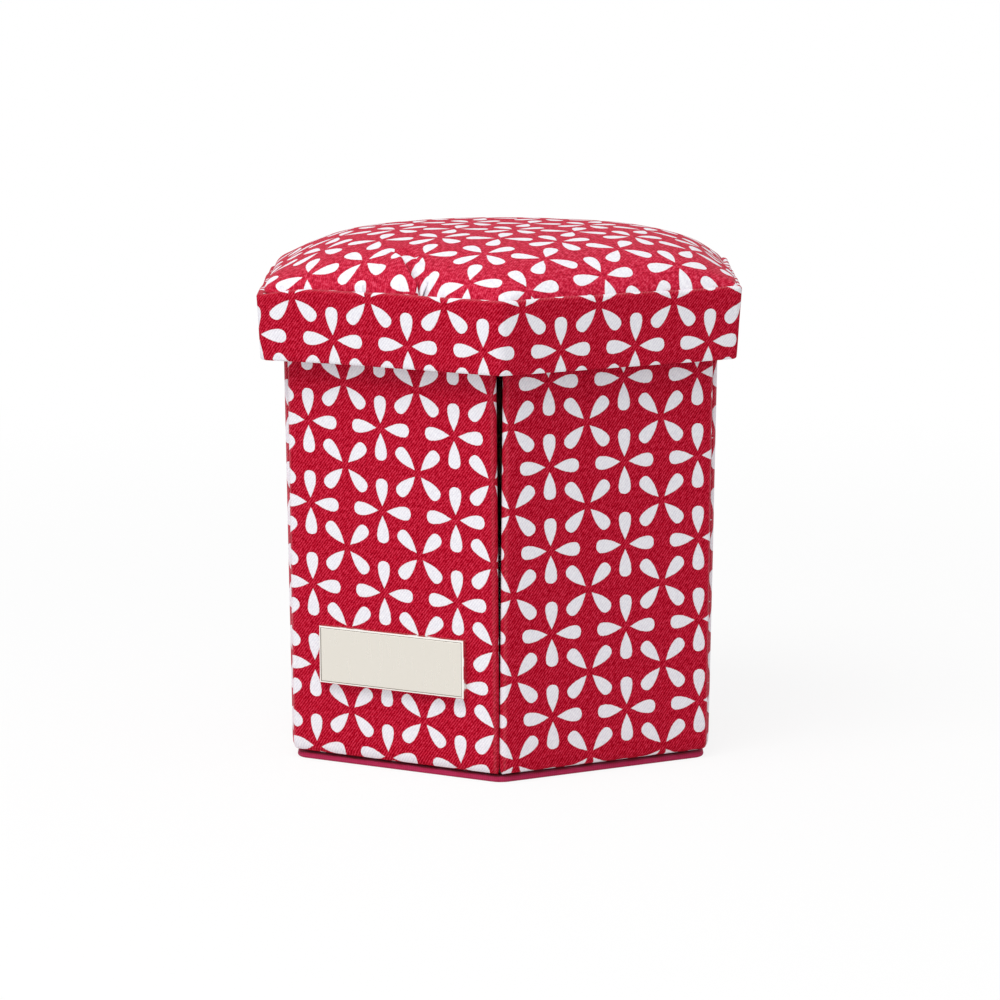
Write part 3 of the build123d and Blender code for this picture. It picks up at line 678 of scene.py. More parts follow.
def name_plate():
    """A stamped nickel tray with a bare face: a bright, rounded edge with a fine dark line inside it, both
    painted light: the edge is a painted highlight in a lighter nickel, and the line a painted dark reflection
    in a darker one.
    """
    bm = bmesh.new()
    bmesh.ops.create_cube(bm, size=1)
    bmesh.ops.scale(bm, vec=(PLATE_WIDTH, PLATE_DEPTH, PLATE_HEIGHT), verts=bm.verts)
    back = min(bm.faces, key=lambda f: f.calc_center_median().y)
    front = max(bm.faces, key=lambda f: f.calc_center_median().y)
    inset_face(bm, back, PLATE_METAL)
    bmesh.ops.translate(bm, vec=(0, PLATE_DEPTH - PLATE_METAL, 0), verts=back.verts)
    bright = inset_face(bm, front, PLATE_EDGE)
    painted_dark_line = inset_face(bm, front, LINE_WIDTH, -LINE_DEPTH)
    inset_face(bm, front, 0.1, LINE_DEPTH)
    # The edge band takes the painted highlight and the fine line the painted dark reflection.
    for number, band in enumerate((bright, painted_dark_line), 1):
        for face in band:
            face.material_index = number
    high = PLATE_DEPTH / 2 - 0.01
    rims = [e for e in bm.edges if all(v.co.y > high for v in e.verts)]
    rims = [e for e in rims if len({f in bright for f in e.link_faces}) > 1]
    rims = [e for e in rims if not any(f in painted_dark_line for f in e.link_faces)]
    bevelled(bm, rims, PLATE_EDGE_ROUND, 3, material=1)
    outwards(bm)
    spot = (0, WALL_THICKNESS + PLATE_DEPTH / 2, PLATE_HEIGHT_ON_WALL)
    bmesh.ops.translate(bm, vec=spot, verts=bm.verts)
    onto_wall(bm, "front_left")
    obj = finish_mesh(bm, "bare_plate", "nickel_plate")
    obj.data.shade_flat()
    obj.data.materials.append(materials["nickel_edge"])
    obj.data.materials.append(materials["dulled_nickel"])
    dress(obj, "wall_front_left", "nickel", "name_plate")


name_plate()


# Lid rim

RIM_WALL = CLOTH + RIM_CARD + CLOTH
RIM_PROUD = 1.3  # the cloth's top edge stands this far over the card
RIM_TOP_ROUND = 0.85
RIM_BOTTOM_ROUND = 0.6
RIM_TURN_IN = 2.3
# How much paler the rim's top edge is painted: partly wear, partly a painted highlight along its rounded
# edge.
RIM_WEAR_AND_HIGHLIGHT = 0.2
LAP_DROP, LAP_SINK = 0.35, 1.5  # how far the lapped cloth hangs at the bottom, and sinks at the top


def rim_apothem(height):
    share = (height - RIM_BOTTOM) / (RIM_TOP - RIM_BOTTOM)
    return RIM_BOTTOM_APOTHEM + share * (RIM_TOP_APOTHEM - RIM_BOTTOM_APOTHEM)


def round_stations(straight, bend):
    """Stations round a soft hexagon: a side's direction, the share of its half length, and the turn
    round the corner that ends it. The first and last lie together, on the rear corner."""
    found = []
    for direction in range(120, 480, 60):
        found += [(direction, 2 * n / straight - 1, 0.0) for n in range(straight + 1)]
        found += [(direction, 1.0, SIXTH * n / bend) for n in range(1, bend)]
    return found + [(120, -1.0, 0.0)]


def soft_point(station, apothem, corner):
    direction, share, turn = station
    a = radians(direction)
    half = (apothem - corner) * MITRE
    centre = spoke(a) * (apothem - corner) + Vector((-sin(a), cos(a), 0)) * half * share
    return centre + spoke(a + turn) * corner


def rim_profile():
    """Inset and height along the rim's cloth, from the ceiling inside, round the lower edge, up the
    outside, over the top and down inside it."""
    low, end = RIM_BOTTOM + RIM_BOTTOM_ROUND, RIM_TOP + RIM_PROUD
    top = end - RIM_TOP_ROUND

    def low_arc(a):
        return RIM_BOTTOM_ROUND * (1 - cos(radians(a))), low - RIM_BOTTOM_ROUND * sin(radians(a))

    points = [(RIM_WALL, z) for z in stations(CEILING, (low, 3))]
    points += [(RIM_WALL - low_arc(a)[0], low_arc(a)[1]) for a in (45, 90)]
    points += [low_arc(a) for a in (90, 67, 45, 22, 0)]
    points += [(0.0, z) for z in stations(low, (top, 14))[1:]]
    for a in (18, 36, 54, 72, 90):
        points.append((RIM_TOP_ROUND * (1 - cos(radians(a))), top + RIM_TOP_ROUND * sin(radians(a))))
    return points + [(RIM_WALL - 0.3, end - 0.1), (RIM_WALL, end - 0.6), (RIM_WALL, RIM_TOP - RIM_TURN_IN)]


def rim_cloth():
    """The printed band round the lid, glued over its card ring."""
    around = round_stations(24, 8)
    profile = rim_profile()
    outer = next(n for n, (inset, z) in enumerate(profile) if inset == 0.0)
    heights = running(profile)
    heights = [h - heights[outer] + RIM_BOTTOM_ROUND for h in heights]
    mean = (RIM_BOTTOM_APOTHEM + RIM_TOP_APOTHEM) / 2
    lengths = running([soft_point(station, mean, RIM_CORNER) for station in around])
    front = next(lengths[n] for n, s in enumerate(around) if s[0] == 240 and s[2] > 0.49 * SIXTH)

    def lap(station):
        """The cloth's ends lap over the left side, which stands out a little there."""
        direction, share, turn = station
        if direction == 180 or (direction == 120 and turn > 0):
            return 1.0
        past = share + 1 if direction == 240 else 1 - share
        return max(0.0, 1 - 2 * past) * (direction in (120, 240))

    def place(i, j):
        inset, z = profile[j]
        direction, share, turn = around[i]
        corner = max(RIM_CORNER - inset, CLOTH)
        point = soft_point(around[i], rim_apothem(z) - inset, corner)
        up = (z - RIM_BOTTOM) / (RIM_TOP - RIM_BOTTOM)
        lapped = lap(around[i])
        over = lapped * max(1 - inset / RIM_WALL, 0)  # only the outer layer stands out
        point.x -= over * (1.05 - 0.35 * up)
        point.z = z - LAP_DROP * over * max(1 - 4 * up, 0) - LAP_SINK * lapped**2 * max(up - 0.5, 0) * 2
        if 0 <= inset < RIM_TOP_ROUND:
            point += spoke(radians(direction) + turn) * 0.12 * noise.noise((lengths[i] / 17, z / 9, 4.0))
            point.z += 0.4 * noise.noise((lengths[i] / 15, 8.0, 2.0)) * min(max(0, (z - RIM_TOP + 3) / 3), 1)
        return point

    def cloth(i, j):
        return lengths[i] - front, heights[j]

    # Paler along the top edge: partly wear, partly a painted highlight.
    def wear_and_highlight(i, j):
        return RIM_WEAR_AND_HIGHLIGHT * bump_of(profile[j][1], RIM_TOP + RIM_PROUD, 0.3)

    columns, rows = list(range(len(around))), list(range(len(profile)))
    bm = grid_sheet(columns, rows, place, cloth, PRINTS["rim"], closed=True, wear_and_highlight=wear_and_highlight)
    outwards(bm)
    obj = finish_mesh(bm, "rim_cloth", "printed_cotton_twill")
    thicken(obj, CLOTH * 0.8)
    dress(obj, "lid", "printed_cloth", "lid_rim_cover")


rim_cloth()


# Cushion

CROWN_CORNER = 3.4
TUCK_APOTHEM = 52.2  # where the cloth disappears behind the rim


def crown_outline(share):
    """Apothem and corner radius of the crown at a share of its reach: hexagonal at the edge, round
    further up."""
    square = share**CROWN_SQUARING
    flat = share * (square + (1 - square) * CROWN_ROUND_SHARE)
    roundness = share * (1 - square) * CROWN_ROUND_SHARE
    return CROWN_APOTHEM * flat, CROWN_APOTHEM * roundness


def crown_rise(share):
    return RIM_TOP - CROWN_SINK + CROWN_HEIGHT * max(1 - share**CROWN_FULLNESS, 0) ** (1 / CROWN_EDGE)


def cushion_rings():
    """The cushion's rings from its hidden bottom to its top: apothem, corner radius and height."""
    rings = [(TUCK_APOTHEM, CROWN_CORNER, z) for z in (CUSHION_BOTTOM, 105.0, 106.6)]
    rings += [(52.7, CROWN_CORNER, 107.4)]
    shares = [1 - 0.45 * (n / 16) ** 1.7 for n in range(1, 17)]
    shares += [0.55 - 0.53 * n / 12 for n in range(1, 13)]
    for share in shares:
        apothem, corner = crown_outline(share)
        rings.append((apothem, max(corner, CROWN_CORNER), crown_rise(share)))
    return rings


def cushion_shape():
    """The closed, crowned cushion as rings bridged from the bottom up."""
    bm = bmesh.new()
    around = round_stations(40, 14)[:-1]
    loops = []
    for apothem, corner, z in cushion_rings():
        verts = []
        for station in around:
            point = soft_point(station, apothem, min(corner, apothem))
            point.z = z
            verts.append(bm.verts.new(point))
        loops.append([bm.edges.new((verts[n - 1], verts[n])) for n in range(len(verts))])
    for low, high in zip(loops, loops[1:]):
        bmesh.ops.bridge_loops(bm, edges=low + high)
    bmesh.ops.triangle_fill(bm, edges=loops[0], use_beauty=True)
    peak = max(v.co.z for v in bm.verts) - 0.01
    bmesh.ops.remove_doubles(bm, verts=[v for v in bm.verts if v.co.z > peak], dist=0.4)
    bmesh.ops.remove_doubles(bm, verts=bm.verts, dist=0.01)
    cap = bmesh.ops.contextual_create(bm, geom=[e for e in bm.edges if e.is_boundary])["faces"]
    bmesh.ops.poke(bm, faces=cap)
    outwards(bm)
    return bm


# How the stuffing has settled along X: lift, middle and width of each swell or dip
SETTLED = ((0.3, 31, 12), (-0.95, -46, 7), (-0.5, -50, 3), (-0.5, 50, 3))


def settle(x):
    """Lower on the left shoulder, fuller at both ends and on the right."""
    return sum(lift * bump_of(x, middle, width) for lift, middle, width in SETTLED)


# The fold where the cloth was lapped to take up its fullness, from its top down to the rim
FOLD_LINE = [(-24.9, -32.6), (-22.9, -37.6), (-21.8, -42.4), (-20.6, -46.4), (-19.2, -49.2), (-17.9, -51.2)]
FOLD_MIDDLE, FOLD_REACH = (-21, -43), 16
FOLD_LIMIT = 53.3  # the flap ends against the rim, this far out on the front left side
DENT_DEPTH = 4.2
DENT_OPEN, DENT_UNDER = 4.6, 1.2  # its width on the fold's open side and under the flap


def fold_point(share):
    """A point of the fold line and its direction, both in plan."""
    steps = len(FOLD_LINE) - 1
    n = min(int(share * steps), steps - 1)
    one, two = Vector(FOLD_LINE[n]), Vector(FOLD_LINE[n + 1])
    return one.lerp(two, share * steps - n), (two - one).normalized()


def beside_fold(x, y):
    """How far a point of the plan lies to the fold's open side, how far down the fold, and how far off."""
    best = (1e9, 0, 0)
    for n in range(41):
        point, way = fold_point(n / 40)
        off = Vector((x, y)) - point
        if off.length < best[0]:
            best = (off.length, off.dot(Vector((-way.y, way.x))), n / 40)
    return best[1], best[2], best[0]


def crown_dents(x, y):
    """How the stuffing has settled, with the tuck beside the fold, as a change in height."""
    change = settle(x)
    if dist((x, y), FOLD_MIDDLE) < FOLD_REACH:
        aside, down, distance = beside_fold(x, y)
        if distance < 6:
            side = max(1 - aside / DENT_OPEN, 0) ** 1.3 if aside > 0 else max(1 + aside / DENT_UNDER, 0)
            change -= DENT_DEPTH * min(down / 0.25, 1) * side
    return change


# The gathers at the crown's corners: each corner's direction and how deep they are
GATHERS = ((30, 0.55), (90, 0.45), (150, 0.4), (210, 0.15), (330, 0.2))
GATHER_FADE = 6.5  # how far over the rim they run out


def gather(point):
    """Gathers that fade up from the rim, strongest round the rear corners, and the pleats at the right."""
    x, y, z = point
    turn = degrees(atan2(y, x)) % 360
    fade = max(0.0, 1 - max(z - RIM_TOP, 0) / GATHER_FADE) ** 1.5
    ripple = 0.22 * noise.noise((turn / 4.5, z / 8, 1.7))
    if y < 0:
        ripple -= 0.9 * bump_of(x, -31, 5.5) * bump_of(z, 108.8, 1.3)
    for corner, depth in GATHERS:
        away = turn - corner
        ripple += depth * bump_of(away, 0, 6.5) * sin(radians(away) * 150 / 2)
    pleats = bump_of(x, 54, 5) * bump_of(z, 111.2, 1.9) * (0.8 + 0.85 * sin(2 * pi * y / 5.2))
    pleats *= min(max((-1 - y) / 5, 0), 1)
    return ripple * fade + pleats + 0.7 * bump_of(x, -54, 5) * bump_of(z, 111, 2.4)


def outline_reach(apothem, corner, off):
    """How far out a soft hexagon's edge lies, at an angle from the middle of one of its sides."""
    half = (apothem - corner) * MITRE
    if apothem * tan(off) <= half:
        return apothem / cos(off)
    ahead = cos(off) * (apothem - corner) + sin(off) * half
    aside = (apothem - corner) ** 2 + half**2 - corner**2
    return ahead + sqrt(max(ahead**2 - aside, 0))


def crown_height_at(x, y):
    """The crown's height over a point of the plan, by halving the share that reaches it."""
    reach = hypot(x, y)
    off = (degrees(atan2(y, x)) + 30) % 60 - 30
    low, high = 0.0, 1.15
    for _ in range(30):
        middle = (low + high) / 2
        apothem, corner = crown_outline(middle)
        corner = min(max(corner, 1e-6), apothem)
        if outline_reach(apothem, corner, radians(abs(off))) < reach:
            low = middle
        else:
            high = middle
    return crown_rise(min(low, 1.0))


ARC_STEPS = 24


def cloth_reach(x, y):
    """How far the cloth runs from the crown's middle to a point, over how far the plan does."""
    reach = hypot(x, y)
    if reach < 1:
        return 1.0
    total, before = 0.0, crown_height_at(0, 0)
    for n in range(1, ARC_STEPS + 1):
        height = crown_height_at(x * n / ARC_STEPS, y * n / ARC_STEPS)
        total += hypot(reach / ARC_STEPS, height - before)
        before = height
    return total / reach


# How the crown's cloth is turned and pulled: lattice steps for each millimetre across and back
CROWN_PRINT = ((-0.0296, 0.040455, 0.551), (0.04122, 0.024055, 0.142))


def crown_print(x, y, stretch):
    x, y = x * stretch, y * stretch
    return [a * x + b * y + c for a, b, c in CROWN_PRINT]


SIM_FRAMES = 20
SIM_MOST = 0.8  # the most that a point may move, in millimetres
SIM_STEADY = 8  # within this of the middle the finest faces move as one
SIM_CLOTH = {
    "quality": 5,
    "mass": 0.25,
    "tension_stiffness": 12,
    "bending_stiffness": 0.4,
    "use_pressure": True,
    "uniform_pressure_force": 4,
    "vertex_group_mass": "glued",
}


def pinned(z):
    """How firmly the cloth is held: glued behind the rim, free on the crown."""
    return max(0.12, min(1.0, 1 - (z - RIM_TOP) / 3.0))


def plump(obj):
    """Blows the cushion up a little as cloth and keeps what it does, within a limit."""
    group = obj.vertex_groups.new(name="glued")
    before = [v.co.copy() for v in obj.data.vertices]
    for vert in obj.data.vertices:
        group.add([vert.index], pinned(vert.co.z / MM), "REPLACE")
    cloth = obj.modifiers.new("cloth", "CLOTH")
    for name, value in SIM_CLOTH.items():
        setattr(cloth.settings, name, value)
    cloth.settings.effector_weights.gravity = 0
    cloth.collision_settings.use_collision = False
    scene = bpy.context.scene
    for frame_number in range(1, SIM_FRAMES + 1):
        scene.frame_set(frame_number)
    shaped = obj.evaluated_get(bpy.context.evaluated_depsgraph_get())
    after = [v.co.copy() for v in shaped.data.vertices]
    obj.modifiers.remove(cloth)
    obj.vertex_groups.clear()
    scene.frame_set(1)
    ring = [new.z - old.z for old, new in zip(before, after) if 6 < hypot(old.x, old.y) / MM < 9]
    lifted = Vector((0, 0, sum(ring) / len(ring)))
    for vert, old, new in zip(obj.data.vertices, before, after):
        free = min(hypot(old.x, old.y) / (SIM_STEADY * MM), 1) ** 2
        move = (new - old) * free + lifted * (1 - free) * (old.z > CUSHION_BOTTOM * 1.1 * MM)
        if move.length > SIM_MOST * MM:
            move *= SIM_MOST * MM / move.length
        vert.co = old + move


CREASED_FROM, CREASED_OVER = 107, 2.5  # gathers and dents start at this height, and dents grow over this much


def cushion():
    bm = cushion_shape()
    prints = bm.loops.layers.uv.new("print")
    stretches = {v: cloth_reach(v.co.x, v.co.y) for v in bm.verts}
    for loop in (loop for face in bm.faces for loop in face.loops):
        loop[prints].uv = crown_print(loop.vert.co.x, loop.vert.co.y, stretches[loop.vert])
    for vert in bm.verts:
        x, y, z = vert.co
        if z > CREASED_FROM:
            out = Vector((x, y, 0)).normalized() if hypot(x, y) > 1 else Vector()
            vert.co.z += crown_dents(x, y) * min((z - CREASED_FROM) / CREASED_OVER, 1)
            vert.co += out * gather(vert.co)
    obj = finish_mesh(bm, "cushion_cloth", "printed_cotton_crown")
    plump(obj)
    smooth = obj.modifiers.new("smooth", "SUBSURF")
    smooth.levels = smooth.render_levels = 1
    dress(obj, "lid", "printed_cloth", "cushion_cover", "cushion_filling")


cushion()


# Lapped fold

# The tuck beside the folded edge, as its reach under the flap and its lift over the crown
TUCK = ((-0.1, -1.5), (-0.35, -3.2), (-0.75, -3.4), (-0.95, -2.6), (-1.15, -1.6), (-1.6, -0.8))
TUCK += ((-2.9, -0.3), (-3.8, -0.35), (-4.6, -0.8))
FLAP_WIDTH, FLAP_ROLL = 9.0, 0.55
FLAP_STEPS = (-1.0, -0.85, -0.7, -0.55, -0.4, -0.28, -0.18, -0.09, 0.0)  # shares of its width
ROLL_STEPS = (30, 60, 90, 120, 150, 180)  # degrees round the roll; past them come the tuck's points
FRONT_LEFT = Vector((cos(radians(240)), sin(radians(240))))


def lapped_fold():
    """The lapped cloth itself: a flap that lies on the crown, its folded edge standing up beside the
    tuck, and tapering to nothing at its top."""
    tuck_steps = {181 + n: spot for n, spot in enumerate(TUCK)}
    across = [*FLAP_STEPS, *ROLL_STEPS, *tuck_steps]
    down = stations(0.02, (1.0, 26))

    def flap(share, step):
        """The point at a step across, and the point of the plan where its cloth would lie."""
        point, way = fold_point(share)
        left = Vector((way.y, -way.x))
        grown = min(share / 0.3, 1.0) ** 0.7 * (1 - max((share - 0.8) / 0.2, 0) ** 1.5)
        reach, lift, cloth = 0.0, 2 * FLAP_ROLL * grown, 0.0
        if step <= 0:
            reach = -step * FLAP_WIDTH * grown
            lift *= (1 + step) ** 1.5
        elif step <= 180:
            reach = -FLAP_ROLL * grown * sin(radians(step))
            lift = FLAP_ROLL * grown * (1 + cos(radians(step)))
            cloth = -FLAP_ROLL * radians(step)
        else:
            reach, lift = (value * grown for value in tuck_steps[step])
            cloth = reach
        spot = point + left * reach
        spot -= FRONT_LEFT * max(spot.dot(FRONT_LEFT) - FOLD_LIMIT, 0)
        flat = spot if step <= 0 else point + left * cloth
        height = crown_height_at(spot.x, spot.y) + settle(spot.x)
        sunk = 1.6 * max(share - 0.84, 0) / 0.16 + 0.1
        return Vector((spot.x, spot.y, max(height, RIM_TOP - 1.2) + lift - sunk)), flat

    def key(point):
        return tuple(round(c, 4) for c in point)

    bm = grid_sheet(down, across, lambda share, step: flap(share, step)[0])
    prints = bm.loops.layers.uv["print"]
    flats = {key(spot): flat for spot, flat in (flap(share, step) for share in down for step in across)}
    for loop in (loop for face in bm.faces for loop in face.loops):
        flat = flats[key(loop.vert.co)]
        loop[prints].uv = crown_print(flat.x, flat.y, cloth_reach(flat.x, flat.y))
    obj = finish_mesh(bm, "lapped_fold", "printed_cotton_crown")
    thicken(obj, CLOTH * 0.6)
    dress(obj, "lid", "printed_cloth")


lapped_fold()


# Lid lining

low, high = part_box("lid_lining")
ceiling_pad = soft_plate("lid_lining_cloth", high.x / MM, 2.2, CEILING, CUSHION_BOTTOM, 0.7, "fuchsia_cotton")
dress(ceiling_pad, "lid", "fuchsia_cloth", "lid_lining")


# Rack, reels and thimble

RACK_TOP = 7.8
RING_RADIUS = 22.0
SPOOLS = {"white": -90, "black": 30, "navy": 150}
THIMBLE_DIRECTION = 210


def ring_place(direction, height=0.0):
    return spoke(radians(direction), RING_RADIUS, RACK_TOP + height)


def turn_profile(points, steps):
    """A turned solid: the outline of its half section, spun about the upright axis."""
    bm = bmesh.new()
    verts = [bm.verts.new((radius, 0, z)) for radius, z in points]
    edges = [bm.edges.new(pair) for pair in zip(verts, verts[1:])]
    spin = {"cent": (0, 0, 0), "axis": (0, 0, 1), "angle": 2 * pi, "steps": steps, "use_merge": True}
    bmesh.ops.spin(bm, geom=verts + edges, **spin)
    bmesh.ops.remove_doubles(bm, verts=bm.verts, dist=0.0005)
    outwards(bm)
    return bm


def turned_handle():
    """The beech handle, with a foot, a bead and a round knob."""
    outline = [(0, 0), (6.3, 0), (6.5, 0.2), (6.5, 0.8), (6.2, 1.3), (5.3, 2.2), (4.75, 3.2), (4.5, 4.4)]
    outline += [(4.5, z) for z in (16, 28, 40, 52, 60.4)]
    outline += [(4.2, 60.8), (4.2, 61.2), (4.9, 61.6), (5.1, 62.3), (4.9, 63.0), (4.2, 63.4), (4.1, 64.4)]
    outline += [(6.5 * cos(radians(a)), 71.5 + 6.5 * sin(radians(a))) for a in range(-50, 90, 10)]
    bm = turn_profile(outline + [(0, 78)], 64)
    bmesh.ops.translate(bm, vec=(0, 0, RACK_TOP), verts=bm.verts)
    dress(finish_mesh(bm, "turned_handle", "waxed_beech"), "rack", "beech", "rack_handle")


turned_handle()

THREAD_LOW, THREAD_HIGH = 2.1, 39.9
THREAD_RADIUS, BARREL_RADIUS = 8.4, 5.02
WINDING_PITCH = 0.72  # the real turns lie about 0.25 apart, drawn coarser so that they show
WINDING_DEPTH = 0.13
WINDING_END, WINDING_TAPER = 1.5, 0.7  # over how much height it narrows at both ends, and by how much
REEL_LIFT = 0.2


def winding(colour):
    """Thread wound on a reel, its turns running up it as one helix."""
    middle = ring_place(SPOOLS[colour], REEL_LIFT)
    turns = int((THREAD_HIGH - THREAD_LOW) / WINDING_PITCH)
    rows = [(None, z) for z in stations(THREAD_LOW, (THREAD_HIGH, turns * 4))]
    low, high = (BARREL_RADIUS, THREAD_LOW), (BARREL_RADIUS, THREAD_HIGH)

    def place(share, row):
        radius, z = row
        if radius is None:
            end = min(z - THREAD_LOW, THREAD_HIGH - z, WINDING_END) / WINDING_END
            turn = cos(2 * pi * (z / WINDING_PITCH - share))
            radius = THREAD_RADIUS - 0.14 + WINDING_DEPTH * turn
            radius -= WINDING_TAPER * (1 - end) ** 2
        return middle + spoke(2 * pi * share, radius, z)

    bm = grid_sheet(stations(0, (1, 48)), [low, *rows, high, low], place, closed=True)
    outwards(bm)
    obj = finish_mesh(bm, f"winding_{colour}", f"thread_{colour}")
    dress(obj, f"spool_{colour}", f"thread_{colour}", f"thread_{colour}")


for colour in SPOOLS:
    winding(colour)

DIMPLE_PITCH = 1.25
DIMPLES_AROUND = 36
DIMPLE_RADIUS, DIMPLE_DEPTH = 0.52, 0.24
DIMPLES_FROM = 5.9  # height of the lowest row


def cup_radius(z):
    """The thimble's outside, over its rolled mouth."""
    return 8.4 - 1.5 * (z - 1.3) / 16.7


def thimble_cup():
    """A drawn steel thimble: a rolled mouth, a smooth band, dimpled rows and a dimpled dome."""
    outline = [(7.8, 0.2), (8.1, 0.05), (8.7, 0.05), (9.0, 0.3), (9.0, 0.7), (8.7, 1.1), (8.42, 1.3)]
    outline += [(cup_radius(z), z) for z in stations(1.3, (5.0, 6), (18.0, 42))[1:]]
    outline += [(6.9 - 2.0 * (1 - cos(radians(a))), 18 + 2 * sin(radians(a))) for a in (20, 40, 60, 80)]
    outline += [(r, 20.0 + 0.12 * (1 - (r / 4.9) ** 2)) for r in (4.5, 3.6, 2.7, 1.8, 0.9, 0)]
    inside = [(0, 19.4), (4.6, 19.3), (5.9, 18.6), (6.25, 17.4), (6.6, 14), (7.2, 8), (7.75, 1.5)]
    bm = turn_profile(outline + inside + [outline[0]], 144)
    for vert in bm.verts:
        x, y, z = vert.co
        radius = hypot(x, y)
        if 5.3 < z < 17.7 and radius > cup_radius(z) - 0.2:
            row = round((z - DIMPLES_FROM) / DIMPLE_PITCH)
            turn = atan2(y, x) / (2 * pi) * DIMPLES_AROUND + row * 0.5
            aside = (turn - round(turn)) * 2 * pi * radius / DIMPLES_AROUND
            off = hypot(aside, z - DIMPLES_FROM - row * DIMPLE_PITCH)
            dip = DIMPLE_DEPTH * max(0.0, 1 - (off / DIMPLE_RADIUS) ** 2)
            vert.co *= Vector((1 - dip / radius, 1 - dip / radius, 1))
    bmesh.ops.translate(bm, vec=ring_place(THIMBLE_DIRECTION), verts=bm.verts)
    dress(finish_mesh(bm, "dimpled_thimble", "polished_steel"), "thimble", "steel", "thimble")


thimble_cup()


def eased(node, body, slot, width, material):
    """A solid with its sharp edges eased, in place of the plain one."""
    bm = bmesh.new()
    bm.from_mesh(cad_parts[node].data)
    bmesh.ops.remove_doubles(bm, verts=bm.verts, dist=1e-6)
    bmesh.ops.dissolve_limit(bm, angle_limit=radians(4), verts=bm.verts, edges=bm.edges)
    outwards(bm)
    bmesh.ops.scale(bm, vec=(1 / MM, 1 / MM, 1 / MM), verts=bm.verts)
    obj = finish_mesh(bm, f"{node}_eased", material)
    bevel = obj.modifiers.new("eased", "BEVEL")
    bevel.width = width * MM
    bevel.segments = 3
    bevel.limit_method = "ANGLE"
    bevel.angle_limit = radians(35)
    bevel.harden_normals = True
    dress(obj, body, slot, node)


eased("rack_board", "rack", "beech", 0.6, "waxed_beech_board")
eased("scissors_half_a", "wall_left", "steel", 0.25, "polished_steel")
eased("scissors_half_b", "scissors_loose_half", "steel", 0.25, "polished_steel")
eased("scissors_screw", "wall_left", "steel", 0.2, "polished_steel")
eased("tape_tip", "wall_right", "steel", 0.12, "polished_steel")
eased("needle_card", "wall_back_left", "pale_card", 0.15, "pale_card")


# Straps, tape and needles

STRAP_THICKNESS = 0.5
STRAP_FOOT = 4.0
STRAP_CLEAR = 0.3
STRAP_ROUND = 0.8
BEND_STEPS = 5


def rounded_path(points, radius):
    """A path with its corners rounded."""
    path = [Vector(points[0])]
    for before, corner, after in zip(points, points[1:], points[2:]):
        corner = Vector(corner)
        start, end = [corner + (Vector(other) - corner).normalized() * radius for other in (before, after)]
        for n in range(BEND_STEPS + 1):
            t = n / BEND_STEPS
            path.append(start * (1 - t) ** 2 + corner * 2 * t * (1 - t) + end * t**2)
    return path + [Vector(points[-1])]


def elastic_strap(node, wall, half, depth, width, height):
    """Woven elastic stretched over a tool, its ends sewn down on the lining."""
    side = half + STRAP_CLEAR
    corners = [(-side - STRAP_FOOT, -STRAP_CLEAR), (-side, -STRAP_CLEAR), (-side, -depth - STRAP_CLEAR)]
    corners += [(-x, y) for x, y in reversed(corners)]
    path = rounded_path(corners, STRAP_ROUND)

    def place(row, across):
        return Vector((path[row].x, path[row].y, height + across))

    bm = grid_sheet(list(range(len(path))), stations(-width / 2, (width / 2, 12)), place)
    onto_wall(bm, wall)
    obj = finish_mesh(bm, f"{node}_elastic", "white_elastic")
    thicken(obj, STRAP_THICKNESS, offset=0)
    dress(obj, f"wall_{wall}", "elastic", node)


elastic_strap("scissors_strap", "left", 10.0, 4.76, 8.0, 44.0)
elastic_strap("tape_strap", "right", 15.9, 14.8, 8.0, 68.0)
elastic_strap("needle_band", "back_left", 14.4, 2.0, 6.0, 54.5)

TAPE_PITCH = 0.5
TAPE_THICKNESS = 0.34
TAPE_WIDTH = 14.0
TAPE_START, TAPE_TURNS = 3.1, 24.25
TAPE_DEPTH, TAPE_HEIGHT = -7.4, 68.0  # the middle of the roll on its wall


def rolled_tape():
    """The measuring tape as one strip, rolled up from its middle."""
    spots = stations(0.0, (TAPE_TURNS, 1164))

    def place(turn, across):
        reach, a = TAPE_START + TAPE_PITCH * turn, 2 * pi * turn
        return Vector((reach * cos(a), TAPE_DEPTH + across, TAPE_HEIGHT + reach * sin(a)))

    def cloth(turn, across):
        return 2 * pi * (TAPE_START * turn + TAPE_PITCH * turn**2 / 2), across

    widths = stations(-TAPE_WIDTH / 2, (TAPE_WIDTH / 2, 2))
    bm = grid_sheet(spots, widths, place, cloth, ((0, 0), (10, 0), (0, 10)))
    onto_wall(bm, "right")
    obj = finish_mesh(bm, "rolled_tape", "coated_tape")
    thicken(obj, TAPE_THICKNESS, offset=0)
    dress(obj, "wall_right", "tape_cloth", "tape_roll")
    flat = (cloth(TAPE_TURNS, 0)[0] * MM, TAPE_WIDTH * MM)


rolled_tape()

NEEDLES = 5
NEEDLE_SPACING = 4.2
NEEDLE_PLACE = (-8.4, -1.2, 46.5)  # the first needle's eye end on its wall
SHANK_LOW, SHANK_LENGTH, POINT_LENGTH = 3, 31, 5
EYE_RADIUS, EYE_WIRE = 0.24, 0.15
EYE_STRETCH, EYE_HEIGHT = 4.4, 1.75


def cone(bm, low_radius, high_radius, length, middle):
    """A closed, upright cone whose middle is at a height, and its points."""
    shape = {"segments": 16, "radius1": low_radius, "radius2": high_radius, "depth": length}
    verts = bmesh.ops.create_cone(bm, cap_ends=True, **shape)["verts"]
    bmesh.ops.translate(bm, vec=(0, 0, middle), verts=verts)
    return verts


